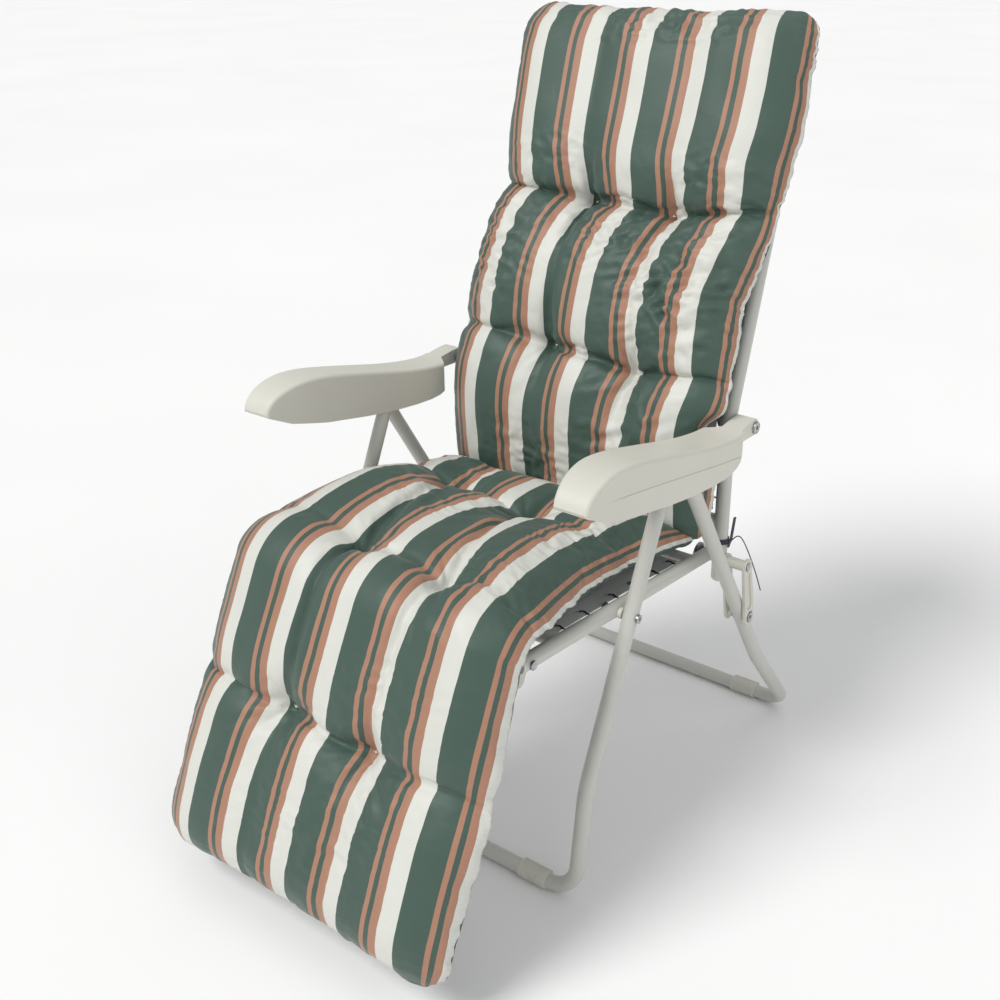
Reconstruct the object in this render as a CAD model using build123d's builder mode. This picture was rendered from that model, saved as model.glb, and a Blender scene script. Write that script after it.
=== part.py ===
from build123d import *
import os
from math import sin, cos, tan, atan2, degrees, radians, hypot, pi

# Padded folding lounger: two U-shaped tube leg frames crossing at a pivot inside
# each armrest, a seat frame, a high backrest frame, a hinged footrest frame,
# fabric slings on wire hooks, and one long tufted cushion in three sections.
# X is across the chair, the sitter faces -Y, Z is up. All sizes in millimetres.

os.makedirs("parts", exist_ok=True)

# ------------------------------------------------------------------ driving sizes
Y_SHIFT = -174.6        # moves the side-view coordinates so the chair's middle is Y = 0

TUBE_R = 11.0           # 22 mm steel tube
TUBE_WALL = 1.2
BORE_R = TUBE_R - TUBE_WALL
BOLT_R = 4.0            # 8 mm bolts
HOLE_R = 4.05           # running holes for the bolts
HEAD_R = 6.5

# side-view points (y, z) of the pivots
P1 = (211.0, 594.0)     # both leg frames, inside the armrest
P2 = (125.5, 403.5)     # seat rail on the front leg
P3 = (388.5, 379.5)     # seat rail, backrest tube and link
P4 = (406.0, 285.5)     # link on the rear leg
P5 = (391.0, 604.0)     # armrest tail on the backrest tube
PK = (-75.0, 421.8)     # footrest on the seat rail's front end

# half widths to the tube centre lines
X_SEAT = 228.0
X_BACK = 250.5
X_FRONT = 256.5
X_REAR = 283.0
X_FOOT = 203.0

# leg frames
FLOOR_Z = 12.5          # height of the floor tubes' centre line
F_BEND = (23.25, 176.9)
F_FOOT = (0.0, FLOOR_Z)
R_BEND = (473.1, 177.4)
R_FOOT = (609.0, FLOOR_Z)
LEG_CORNER_R = 45.0
LEG_TOP_OVER = 9.0      # tube end beyond the top pivot
SLEEVE_R = 13.5
SLEEVE_LEN = 46.0

# seat, backrest, footrest
SEAT_SLOPE = (P2[1] - P3[1]) / (P3[0] - P2[0])
BACK_TOP = (643.0, 1118.0)
X_BACK_TOP = 210.5       # the backrest narrows towards its top
BACK_END_Z = 350.0
FOOT_DIR = (-0.407, -0.9134)        # footrest centre line, running down from PK
FOOT_LEN = 372.0
SLING_T = 1.6

# cushion
CUSH_GAP = 14.5         # cushion back face above the tube centre lines
CUSH_T = 64.5
CUSH_LEG_T = 58.5
CUSH_W_SEAT = 237.6
CUSH_W_BACK = 250.0
CUSH_W_LEG = 237.6


def P(x, y, z):
    return (x, y + Y_SHIFT, z)


# side plane at the chair's middle: local x is +Y, local y is +Z, normal is +X
SIDE = Plane(origin=(0, Y_SHIFT, 0), x_dir=(0, 1, 0), z_dir=(1, 0, 0))


def seat_z(y):
    return P2[1] + (P2[0] - y) * SEAT_SLOPE


def unit(a, b):
    d = (b[0] - a[0], b[1] - a[1])
    n = hypot(*d)
    return (d[0] / n, d[1] / n)


def along(p, d, t):
    return (p[0] + d[0] * t, p[1] + d[1] * t)


# ------------------------------------------------------------------ front leg frame
f_up = unit(F_BEND, P1)
f_top = along(P1, f_up, LEG_TOP_OVER)
front_points = [
    P(X_FRONT, *f_top), P(X_FRONT, *F_BEND), P(X_FRONT, *F_FOOT),
    P(-X_FRONT, *F_FOOT), P(-X_FRONT, *F_BEND), P(-X_FRONT, *f_top),
]
front_radii = [170.0, LEG_CORNER_R, LEG_CORNER_R, 170.0]
with BuildPart() as front_leg_frame:
    with BuildLine() as front_path:
        FilletPolyline(*front_points, radius=front_radii)
    with BuildSketch(Plane(origin=front_path.line @ 0, z_dir=front_path.line % 0)):
        Circle(TUBE_R)
        Circle(BORE_R, mode=Mode.SUBTRACT)
    sweep()
    for s in (1, -1):
        with Locations(P(s * X_FRONT, *P1), P(s * X_FRONT, *P2)):
            Cylinder(HOLE_R, 30, rotation=(0, 90, 0), mode=Mode.SUBTRACT)
front_leg_frame.part.label = "front_leg_frame"
export_step(front_leg_frame.part, "parts/front_leg_frame.step")

# ------------------------------------------------------------------ rear leg frame
r_up = unit(R_BEND, P1)
r_top = along(P1, r_up, LEG_TOP_OVER)
rear_points = [
    P(X_REAR, *r_top), P(X_REAR, *R_BEND), P(X_REAR, *R_FOOT),
    P(-X_REAR, *R_FOOT), P(-X_REAR, *R_BEND), P(-X_REAR, *r_top),
]
rear_radii = [260.0, LEG_CORNER_R, LEG_CORNER_R, 260.0]
with BuildPart() as rear_leg_frame:
    with BuildLine() as rear_path:
        FilletPolyline(*rear_points, radius=rear_radii)
    with BuildSketch(Plane(origin=rear_path.line @ 0, z_dir=rear_path.line % 0)):
        Circle(TUBE_R)
        Circle(BORE_R, mode=Mode.SUBTRACT)
    sweep()
    for s in (1, -1):
        with Locations(P(s * X_REAR, *P1), P(s * X_REAR, *P4)):
            Cylinder(HOLE_R, 30, rotation=(0, 90, 0), mode=Mode.SUBTRACT)
rear_leg_frame.part.label = "rear_leg_frame"
export_step(rear_leg_frame.part, "parts/rear_leg_frame.step")

# ------------------------------------------------------------------ end caps
# domed plug caps pushed into the open tube ends
with BuildPart() as cap_unit:
    Cylinder(TUBE_R, 3.0, align=(Align.CENTER, Align.CENTER, Align.MIN))
    fillet(cap_unit.edges().group_by(Axis.Z)[-1], radius=2.4)
    with Locations((0, 0, 0)):
        Cylinder(BORE_R - 0.05, 3.6, align=(Align.CENTER, Align.CENTER, Align.MAX))

# a rounder cap, used where a tube end shows
with BuildPart() as round_cap_unit:
    Cylinder(TUBE_R, 7.0, align=(Align.CENTER, Align.CENTER, Align.MIN))
    fillet(round_cap_unit.edges().group_by(Axis.Z)[-1], radius=6.0)
    with Locations((0, 0, 0)):
        Cylinder(BORE_R - 0.05, 8.0, align=(Align.CENTER, Align.CENTER, Align.MAX))


def end_frames(x, p, d):
    return [
        Plane(origin=P(s * x, *p), x_dir=(1, 0, 0), z_dir=(0, d[0], d[1])).location
        for s in (1, -1)
    ]


with BuildPart() as front_leg_caps:
    with Locations(*end_frames(X_FRONT, f_top, f_up)):
        add(cap_unit.part)
front_leg_caps.part.label = "front_leg_caps"
export_step(front_leg_caps.part, "parts/front_leg_caps.step")

with BuildPart() as rear_leg_caps:
    with Locations(*end_frames(X_REAR, r_top, r_up)):
        add(cap_unit.part)
rear_leg_caps.part.label = "rear_leg_caps"
export_step(rear_leg_caps.part, "parts/rear_leg_caps.step")

# ------------------------------------------------------------------ foot sleeves
# ribbed grips clipped round the floor tubes, flat underneath, seam bar on top
RIB_PITCH = 4.8
with BuildPart() as sleeve_unit:
    Cylinder(SLEEVE_R, SLEEVE_LEN, rotation=(0, 90, 0))
    with Locations((0, 0, SLEEVE_R - 0.4)):
        Box(SLEEVE_LEN, 5.0, 3.4)
    Cylinder(TUBE_R + 0.02, SLEEVE_LEN + 2, rotation=(0, 90, 0), mode=Mode.SUBTRACT)
    with BuildSketch(Plane.XZ) as grooves:
        with Locations(*[((i - 3.5) * RIB_PITCH, -SLEEVE_R) for i in range(8)]):
            Rectangle(2.0, 1.7)
    revolve(axis=Axis.X, revolution_arc=360, mode=Mode.SUBTRACT)
    # the grooves stop either side of the seam bar
    with Locations((0, 0, SLEEVE_R - 0.4)):
        Box(SLEEVE_LEN, 5.0, 3.4)
    Cylinder(TUBE_R + 0.02, SLEEVE_LEN + 2, rotation=(0, 90, 0), mode=Mode.SUBTRACT)


def sleeve_frames(x, foot, lean):
    # the seam bar leans away from the chair, and the flat stays on the floor
    return [
        Location(P(s * x, *foot), (lean, 0, 0)) for s in (1, -1)
    ]


F_SLEEVE_X = 188.0
R_SLEEVE_X = 205.0
with BuildPart() as front_foot_sleeves:
    with Locations(*sleeve_frames(F_SLEEVE_X, F_FOOT, -40)):
        add(sleeve_unit.part)
    with Locations(P(0, F_FOOT[0], -10)):
        Box(600, 60, 20, mode=Mode.SUBTRACT)
front_foot_sleeves.part.label = "front_foot_sleeves"
export_step(front_foot_sleeves.part, "parts/front_foot_sleeves.step")

with BuildPart() as rear_foot_sleeves:
    with Locations(*sleeve_frames(R_SLEEVE_X, R_FOOT, -40)):
        add(sleeve_unit.part)
    with Locations(P(0, R_FOOT[0], -10)):
        Box(600, 60, 20, mode=Mode.SUBTRACT)
rear_foot_sleeves.part.label = "rear_foot_sleeves"
export_step(rear_foot_sleeves.part, "parts/rear_foot_sleeves.step")


# ------------------------------------------------------------------ fasteners
def turned(s, p, rings):
    # rings: (radius, inner x, outer x) of coaxial steps on one pivot axis
    out = []
    for r, x0, x1 in rings:
        out.append((s * (x0 + x1) / 2, p, r, x1 - x0))
    return out


with BuildPart() as leg_pivot_bolts:
    for s in (1, -1):
        for x, p, r, h in turned(s, P1, [(HEAD_R, 242.6, 245.3), (BOLT_R, 245.3, 294.6)]):
            with Locations(P(x, *p)):
                Cylinder(r, h, rotation=(0, 90, 0))
leg_pivot_bolts.part.label = "leg_pivot_bolts"
export_step(leg_pivot_bolts.part, "parts/leg_pivot_bolts.step")

with BuildPart() as leg_pivot_nuts:
    for s in (1, -1):
        with Locations(P(s * 295.5, *P1)):
            Cylinder(7.0, 2.6, rotation=(0, 90, 0))
        with Locations(P(s * 294.8, *P1)):
            Cylinder(BOLT_R + 0.03, 1.4, rotation=(0, 90, 0), mode=Mode.SUBTRACT)
leg_pivot_nuts.part.label = "leg_pivot_nuts"
export_step(leg_pivot_nuts.part, "parts/leg_pivot_nuts.step")

# sleeves between the two leg tubes, where the armrest's rack sits over the pivot
with BuildPart() as leg_pivot_spacers:
    for s in (1, -1):
        with Locations(P(s * 269.75, *P1)):
            Cylinder(6.0, 4.2, rotation=(0, 90, 0))
            Cylinder(HOLE_R, 6, rotation=(0, 90, 0), mode=Mode.SUBTRACT)
leg_pivot_spacers.part.label = "leg_pivot_spacers"
export_step(leg_pivot_spacers.part, "parts/leg_pivot_spacers.step")

with BuildPart() as seat_pivot_bolts:
    for s in (1, -1):
        for x, p, r, h in turned(s, P2, [(HEAD_R, 267.7, 271.0), (BOLT_R, 212.5, 267.7)]):
            with Locations(P(x, *p)):
                Cylinder(r, h, rotation=(0, 90, 0))
        with Locations(P(s * 271.0, *P2)):
            Cylinder(2.6, 2.4, rotation=(0, 90, 0), mode=Mode.SUBTRACT)
seat_pivot_bolts.part.label = "seat_pivot_bolts"
export_step(seat_pivot_bolts.part, "parts/seat_pivot_bolts.step")

with BuildPart() as seat_pivot_nuts:
    with BuildSketch(SIDE.offset(212.6)):
        with Locations(P2):
            RegularPolygon(7.2, 6)
            Circle(BOLT_R + 0.03, mode=Mode.SUBTRACT)
    extrude(amount=4.2)
    with BuildSketch(SIDE.offset(-212.6)):
        with Locations(P2):
            RegularPolygon(7.2, 6)
            Circle(BOLT_R + 0.03, mode=Mode.SUBTRACT)
    extrude(amount=-4.2)
seat_pivot_nuts.part.label = "seat_pivot_nuts"
export_step(seat_pivot_nuts.part, "parts/seat_pivot_nuts.step")

with BuildPart() as seat_pivot_spacers:
    for s in (1, -1):
        with Locations(P(s * 242.25, *P2)):
            Cylinder(8.0, 6.0, rotation=(0, 90, 0))
            Cylinder(HOLE_R, 8, rotation=(0, 90, 0), mode=Mode.SUBTRACT)
seat_pivot_spacers.part.label = "seat_pivot_spacers"
export_step(seat_pivot_spacers.part, "parts/seat_pivot_spacers.step")

# ------------------------------------------------------------------ links
# moulded link: an inner and an outer plate either side of the rear leg, held
# apart at the top by a tube on the seat axle
LINK_TOP_R = 12.0
LINK_LOW_R = 13.5


with BuildPart() as link_inner_plates:
    for s in (1, -1):
        with BuildSketch(SIDE.offset(s * 262.2)):
            with Locations(P3):
                Circle(LINK_TOP_R)
            with Locations(P4):
                Circle(LINK_LOW_R)
            make_hull()
            with Locations(P3, P4):
                Circle(HOLE_R, mode=Mode.SUBTRACT)
        extrude(amount=s * 3.6)
link_inner_plates.part.label = "link_inner_plates"
export_step(link_inner_plates.part, "parts/link_inner_plates.step")

with BuildPart() as link_outer_plates:
    for s in (1, -1):
        with BuildSketch(SIDE.offset(s * 295.2)):
            with Locations(P3):
                Circle(LINK_TOP_R)
            with Locations(P4):
                Circle(LINK_LOW_R + 0.5)
            make_hull()
            with Locations(P3, P4):
                Circle(HOLE_R, mode=Mode.SUBTRACT)
        extrude(amount=s * 4.6)
        # shallow panel between a raised rim and the two bosses
        with BuildSketch(SIDE.offset(s * 298.0)):
            with Locations(along(P3, unit(P3, P4), 17.0)):
                Circle(5.6)
            with Locations(along(P4, unit(P4, P3), 22.0)):
                Circle(7.2)
            make_hull()
        extrude(amount=s * 3.0, mode=Mode.SUBTRACT)
        with Locations(P(s * 299.2, *P4)):
            Cylinder(9.6, 3.2, rotation=(0, 90, 0), mode=Mode.SUBTRACT)
        with Locations(P(s * 299.4, *P3)):
            Cylinder(7.6, 2.0, rotation=(0, 90, 0), mode=Mode.SUBTRACT)
link_outer_plates.part.label = "link_outer_plates"
export_step(link_outer_plates.part, "parts/link_outer_plates.step")

with BuildPart() as link_spacers:
    for s in (1, -1):
        with Locations(P(s * 280.5, *P3)):
            Cylinder(8.5, 29.2, rotation=(0, 90, 0))
            Cylinder(HOLE_R, 31, rotation=(0, 90, 0), mode=Mode.SUBTRACT)
link_spacers.part.label = "link_spacers"
export_step(link_spacers.part, "parts/link_spacers.step")

with BuildPart() as link_axles:
    for s in (1, -1):
        for x, p, r, h in turned(s, P3, [(BOLT_R, 262.4, 298.5), (6.2, 298.5, 300.6)]):
            with Locations(P(x, *p)):
                Cylinder(r, h, rotation=(0, 90, 0))
link_axles.part.label = "link_axles"
export_step(link_axles.part, "parts/link_axles.step")

with BuildPart() as link_pivot_bolts:
    for s in (1, -1):
        for x, p, r, h in turned(s, P4, [(HEAD_R, 259.4, 262.0), (BOLT_R, 262.0, 298.0)]):
            with Locations(P(x, *p)):
                Cylinder(r, h, rotation=(0, 90, 0))
link_pivot_bolts.part.label = "link_pivot_bolts"
export_step(link_pivot_bolts.part, "parts/link_pivot_bolts.step")

with BuildPart() as link_pivot_nuts:
    for s in (1, -1):
        with Locations(P(s * 299.3, *P4)):
            Cylinder(7.4, 2.8, rotation=(0, 90, 0))
        with Locations(P(s * 298.3, *P4)):
            Cylinder(BOLT_R + 0.03, 1.2, rotation=(0, 90, 0), mode=Mode.SUBTRACT)
        with BuildSketch(SIDE.offset(s * 300.8)):
            with Locations(P4):
                RegularPolygon(3.4, 6)
        extrude(amount=-s * 1.3, mode=Mode.SUBTRACT)
link_pivot_nuts.part.label = "link_pivot_nuts"
export_step(link_pivot_nuts.part, "parts/link_pivot_nuts.step")

with BuildPart() as link_pivot_spacers:
    for s in (1, -1):
        with Locations(P(s * 268.9, *P4)):
            Cylinder(8.0, 5.6, rotation=(0, 90, 0))
            Cylinder(HOLE_R, 8, rotation=(0, 90, 0), mode=Mode.SUBTRACT)
link_pivot_spacers.part.label = "link_pivot_spacers"
export_step(link_pivot_spacers.part, "parts/link_pivot_spacers.step")

# ------------------------------------------------------------------ wire hooks
# one bent wire hook in its own frame: x outward across the tube, y along the
# tube, z towards the sitter; the tube's centre is the origin. It comes up
# through the sling's eyelet, lies over the sling's edge and enters a hole in
# the tube's inner side
WIRE_R = 1.25
HOOK_Z = 3.0            # the hook's hole, above the tube's centre line
HOOK_HOLE_R = 1.3
EYELET_X = 29.0         # eyelet's distance inside the tube's centre line
EDGE_X = 16.5           # sling edge's distance inside the tube's centre line
hook_points = [
    (-EYELET_X, 0, -6), (-EYELET_X, 0, HOOK_Z), (-23.0, 3.5, HOOK_Z), (-17.0, 0, HOOK_Z), (-5.5, 0, HOOK_Z),
]
with BuildPart() as hook_unit:
    with BuildLine() as hook_path:
        FilletPolyline(*hook_points, radius=[2.4, 2.4, 3.0])
    with BuildSketch(Plane(origin=hook_path.line @ 0, z_dir=hook_path.line % 0)):
        Circle(WIRE_R)
    sweep()

SEAT_HOOK_Y = [28.0, 86.0, 158.0, 216.0, 268.0, 316.0]


def hook_frames(x, points, n):
    out = []
    for p in points:
        for s in (1, -1):
            out.append(Plane(origin=P(s * x, *p), x_dir=(s, 0, 0), z_dir=(0, n[0], n[1])).location)
    return out


def hook_holes(x, points, n):
    # drill frames for the hooks: local z runs along X, through the inner wall only
    out = []
    for p in points:
        q = along(p, n, HOOK_Z)
        for s in (1, -1):
            out.append(Plane(origin=P(s * (x - TUBE_R), *q), x_dir=(0, 1, 0), z_dir=(s, 0, 0)).location)
    return out


# ------------------------------------------------------------------ seat frame
# two side rails welded to a front and a rear cross tube, with footrest stops
SEAT_FRONT_Y = -88.0
SEAT_REAR_Y = 402.0
CROSS_FRONT_Y = 0.0
CROSS_REAR_Y = 346.0
s_back = unit(PK, P3)
rail_front = (SEAT_FRONT_Y, seat_z(SEAT_FRONT_Y))
rail_rear = (SEAT_REAR_Y, seat_z(SEAT_REAR_Y))
rail_len = hypot(rail_rear[0] - rail_front[0], rail_rear[1] - rail_front[1])
rail_mid = ((rail_front[0] + rail_rear[0]) / 2, (rail_front[1] + rail_rear[1]) / 2)
STOP_PIN = (-72.6, 387.0)
seat_n = (SEAT_SLOPE / hypot(1, SEAT_SLOPE), 1 / hypot(1, SEAT_SLOPE))
seat_hook_points = [(y, seat_z(y)) for y in SEAT_HOOK_Y]
with BuildPart() as seat_frame:
    for s in (1, -1):
        with BuildSketch(Plane(origin=P(s * X_SEAT, *rail_front), x_dir=(1, 0, 0), z_dir=(0, s_back[0], s_back[1]))):
            Circle(TUBE_R)
        extrude(amount=rail_len)
    with Locations(P(0, CROSS_FRONT_Y, seat_z(CROSS_FRONT_Y)), P(0, CROSS_REAR_Y, seat_z(CROSS_REAR_Y))):
        Cylinder(TUBE_R, 2 * X_SEAT, rotation=(0, 90, 0))
    # stop brackets for the footrest: a plate on each rail with a pin behind the tube
    for s in (1, -1):
        with BuildSketch(SIDE.offset(s * 214.7)):
            with Locations(STOP_PIN):
                Circle(8.0)
            with Locations((-60.0, 420.0)):
                Circle(9.0)
            make_hull()
        extrude(amount=s * 3.2)
        with Locations(P(s * 204.0, *STOP_PIN)):
            Cylinder(4.0, 22.0, rotation=(0, 90, 0))
    for s in (1, -1):
        with BuildSketch(Plane(origin=P(s * X_SEAT, *rail_front), x_dir=(1, 0, 0), z_dir=(0, s_back[0], s_back[1]))):
            Circle(BORE_R)
        extrude(amount=rail_len, mode=Mode.SUBTRACT)
    with Locations(P(0, CROSS_FRONT_Y, seat_z(CROSS_FRONT_Y)), P(0, CROSS_REAR_Y, seat_z(CROSS_REAR_Y))):
        Cylinder(BORE_R, 2 * (X_SEAT - TUBE_R + 0.5), rotation=(0, 90, 0), mode=Mode.SUBTRACT)
    for s in (1, -1):
        with Locations(P(s * X_SEAT, *P2), P(s * X_SEAT, *P3), P(s * X_SEAT, *PK)):
            Cylinder(HOLE_R, 30, rotation=(0, 90, 0), mode=Mode.SUBTRACT)
    with Locations(*hook_holes(X_SEAT, seat_hook_points, seat_n)):
        Cylinder(HOOK_HOLE_R, 9.0, mode=Mode.SUBTRACT)
seat_frame.part.label = "seat_frame"
export_step(seat_frame.part, "parts/seat_frame.step")

with BuildPart() as seat_rail_caps:
    with Locations(*end_frames(X_SEAT, rail_front, (-s_back[0], -s_back[1]))):
        add(cap_unit.part)
    with Locations(*end_frames(X_SEAT, rail_rear, s_back)):
        add(cap_unit.part)
seat_rail_caps.part.label = "seat_rail_caps"
export_step(seat_rail_caps.part, "parts/seat_rail_caps.step")

with BuildPart() as back_pivot_bolts:
    for s in (1, -1):
        for x, p, r, h in turned(s, P3, [(HEAD_R, 209.9, 213.3), (BOLT_R, 213.3, 261.9)]):
            with Locations(P(x, *p)):
                Cylinder(r, h, rotation=(0, 90, 0))
back_pivot_bolts.part.label = "back_pivot_bolts"
export_step(back_pivot_bolts.part, "parts/back_pivot_bolts.step")

# broad washers under the bolt heads, against the seat rails
with BuildPart() as back_pivot_washers:
    for s in (1, -1):
        with Locations(P(s * 215.1, *P3)):
            Cylinder(16.0, 3.4, rotation=(0, 90, 0))
            Cylinder(HOLE_R, 5, rotation=(0, 90, 0), mode=Mode.SUBTRACT)
back_pivot_washers.part.label = "back_pivot_washers"
export_step(back_pivot_washers.part, "parts/back_pivot_washers.step")

# ------------------------------------------------------------------ seat hooks
with BuildPart() as seat_hooks:
    with Locations(*hook_frames(X_SEAT, seat_hook_points, seat_n)):
        add(hook_unit.part)
seat_hooks.part.label = "seat_hooks"
export_step(seat_hooks.part, "parts/seat_hooks.step")

# ------------------------------------------------------------------ seat sling
EYELET_R = 2.4
seat_u = (-seat_n[1], seat_n[0])
with BuildPart() as seat_sling:
    with BuildSketch(SIDE.offset(-(X_SEAT - EDGE_X))):
        with BuildLine():
            Polyline(
                along((16.0, seat_z(16.0)), seat_n, -SLING_T / 2),
                along((330.0, seat_z(330.0)), seat_n, -SLING_T / 2),
                along((330.0, seat_z(330.0)), seat_n, SLING_T / 2),
                along((16.0, seat_z(16.0)), seat_n, SLING_T / 2),
                close=True,
            )
        make_face()
    extrude(amount=2 * (X_SEAT - EDGE_X))
    with Locations(*[
        Plane(origin=P(s * (X_SEAT - EYELET_X), *p), x_dir=(1, 0, 0), z_dir=(0, seat_n[0], seat_n[1])).location
        for p in seat_hook_points for s in (1, -1)
    ]):
        Cylinder(EYELET_R, 20, mode=Mode.SUBTRACT)
seat_sling.part.label = "seat_sling"
export_step(seat_sling.part, "parts/seat_sling.step")

# ------------------------------------------------------------------ backrest frame
b_low = unit(P3, P5)
back_end = along(P3, b_low, (BACK_END_Z - P3[1]) / b_low[1])
b_up = unit(P5, BACK_TOP)
back_points = [
    P(X_BACK, *back_end), P(X_BACK, *P5), P(X_BACK_TOP, *BACK_TOP),
    P(-X_BACK_TOP, *BACK_TOP), P(-X_BACK, *P5), P(-X_BACK, *back_end),
]
BACK_CROSS = along(P3, b_low, 62.0)
back_len = hypot(BACK_TOP[0] - P5[0], BACK_TOP[1] - P5[1])
low_n = (-b_low[1], b_low[0])       # towards the sitter
up_n = (-b_up[1], b_up[0])
back_low_hooks = [along(P3, b_low, t) for t in (100.0, 168.0)]
BACK_HOOK_T = (52.0, 132.0, 212.0, 292.0, 372.0, 446.0)


def back_x(t):
    # tube centre line's half width, t along the upper back from P5
    return X_BACK - (X_BACK - X_BACK_TOP) * t / back_len


with BuildPart() as backrest_frame:
    with BuildLine() as back_path:
        FilletPolyline(*back_points, radius=[60.0, 60.0, 60.0, 60.0])
    with BuildSketch(Plane(origin=back_path.line @ 0, z_dir=back_path.line % 0)):
        Circle(TUBE_R)
    sweep()
    with Locations(P(0, *BACK_CROSS)):
        Cylinder(TUBE_R - 1.5, 2 * X_BACK, rotation=(0, 90, 0))
    with BuildLine() as back_bore_path:
        FilletPolyline(*back_points, radius=[60.0, 60.0, 60.0, 60.0])
    with BuildSketch(Plane(origin=back_bore_path.line @ 0, z_dir=back_bore_path.line % 0)):
        Circle(BORE_R)
    sweep(mode=Mode.SUBTRACT)
    with Locations(P(0, *BACK_CROSS)):
        Cylinder(TUBE_R - 1.5 - TUBE_WALL, 2 * (X_BACK - TUBE_R + 0.5), rotation=(0, 90, 0), mode=Mode.SUBTRACT)
    for s in (1, -1):
        with Locations(P(s * X_BACK, *P3), P(s * X_BACK, *P5)):
            Cylinder(HOLE_R, 30, rotation=(0, 90, 0), mode=Mode.SUBTRACT)
    with Locations(*hook_holes(X_BACK, back_low_hooks, low_n)):
        Cylinder(HOOK_HOLE_R, 9.0, mode=Mode.SUBTRACT)
    for t in BACK_HOOK_T:
        with Locations(*hook_holes(back_x(t), [along(P5, b_up, t)], up_n)):
            Cylinder(HOOK_HOLE_R, 9.0, mode=Mode.SUBTRACT)
backrest_frame.part.label = "backrest_frame"
export_step(backrest_frame.part, "parts/backrest_frame.step")

with BuildPart() as backrest_caps:
    with Locations(*end_frames(X_BACK, back_end, (-b_low[0], -b_low[1]))):
        add(round_cap_unit.part)
backrest_caps.part.label = "backrest_caps"
export_step(backrest_caps.part, "parts/backrest_caps.step")

# ------------------------------------------------------------------ backrest sling and hooks
bis = unit((0, 0), (low_n[0] + up_n[0], low_n[1] + up_n[1]))
bis_k = 1 / (bis[0] * low_n[0] + bis[1] * low_n[1])
sling_low = along(P3, b_low, 78.0)
SLING_TOP_T = 520.0
sling_top = along(P5, b_up, SLING_TOP_T)
BACK_EDGE = X_BACK - EDGE_X
with BuildPart() as back_sling:
    with BuildSketch(SIDE.offset(-BACK_EDGE)):
        with BuildLine():
            Polyline(
                along(sling_low, low_n, -SLING_T / 2),
                along(P5, bis, -SLING_T / 2 * bis_k),
                along(sling_top, up_n, -SLING_T / 2),
                along(sling_top, up_n, SLING_T / 2),
                along(P5, bis, SLING_T / 2 * bis_k),
                along(sling_low, low_n, SLING_T / 2),
                close=True,
            )
        make_face()
    extrude(amount=2 * BACK_EDGE)
    # the side edges follow the tubes inwards
    with BuildSketch(Plane(origin=P(0, *P5), x_dir=(1, 0, 0), z_dir=(0, up_n[0], up_n[1]))):
        for s in (1, -1):
            with BuildLine():
                Polyline(
                    (s * BACK_EDGE, 0), (s * 260.0, 0), (s * 260.0, 560.0),
                    (s * (back_x(560.0) - EDGE_X), 560.0), close=True,
                )
            make_face()
    extrude(amount=12.0, both=True, mode=Mode.SUBTRACT)
    with Locations(*[
        Plane(origin=P(s * (X_BACK - EYELET_X), *p), x_dir=(1, 0, 0), z_dir=(0, low_n[0], low_n[1])).location
        for p in back_low_hooks for s in (1, -1)
    ] + [
        Plane(origin=P(s * (back_x(t) - EYELET_X), *along(P5, b_up, t)), x_dir=(1, 0, 0), z_dir=(0, up_n[0], up_n[1])).location
        for t in BACK_HOOK_T for s in (1, -1)
    ]):
        Cylinder(EYELET_R, 20, mode=Mode.SUBTRACT)
back_sling.part.label = "back_sling"
export_step(back_sling.part, "parts/back_sling.step")

with BuildPart() as back_hooks:
    with Locations(*hook_frames(X_BACK, back_low_hooks, low_n)):
        add(hook_unit.part)
    for t in BACK_HOOK_T:
        with Locations(*hook_frames(back_x(t), [along(P5, b_up, t)], up_n)):
            add(hook_unit.part)
back_hooks.part.label = "back_hooks"
export_step(back_hooks.part, "parts/back_hooks.step")

# ------------------------------------------------------------------ footrest
foot_n = (FOOT_DIR[1], -FOOT_DIR[0])      # towards the sitter's calves
foot_hook_points = [along(PK, FOOT_DIR, t) for t in (96.0, 162.0, 228.0, 294.0)]
foot_top = along(PK, FOOT_DIR, -13.0)
foot_low = along(PK, FOOT_DIR, FOOT_LEN)
foot_points = [
    P(X_FOOT, *foot_top), P(X_FOOT, *foot_low),
    P(-X_FOOT, *foot_low), P(-X_FOOT, *foot_top),
]
FOOT_CROSS = along(PK, FOOT_DIR, 62.0)
with BuildPart() as footrest_frame:
    with BuildLine() as foot_path:
        FilletPolyline(*foot_points, radius=[50.0, 50.0])
    with BuildSketch(Plane(origin=foot_path.line @ 0, z_dir=foot_path.line % 0)):
        Circle(TUBE_R)
    sweep()
    with Locations(P(0, *FOOT_CROSS)):
        Cylinder(TUBE_R - 1.5, 2 * X_FOOT, rotation=(0, 90, 0))
    with BuildLine() as foot_bore_path:
        FilletPolyline(*foot_points, radius=[50.0, 50.0])
    with BuildSketch(Plane(origin=foot_bore_path.line @ 0, z_dir=foot_bore_path.line % 0)):
        Circle(BORE_R)
    sweep(mode=Mode.SUBTRACT)
    with Locations(P(0, *FOOT_CROSS)):
        Cylinder(TUBE_R - 1.5 - TUBE_WALL, 2 * (X_FOOT - TUBE_R + 0.5), rotation=(0, 90, 0), mode=Mode.SUBTRACT)
    for s in (1, -1):
        with Locations(P(s * X_FOOT, *PK)):
            Cylinder(HOLE_R, 30, rotation=(0, 90, 0), mode=Mode.SUBTRACT)
    with Locations(*hook_holes(X_FOOT, foot_hook_points, foot_n)):
        Cylinder(HOOK_HOLE_R, 9.0, mode=Mode.SUBTRACT)
footrest_frame.part.label = "footrest_frame"
export_step(footrest_frame.part, "parts/footrest_frame.step")

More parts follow.
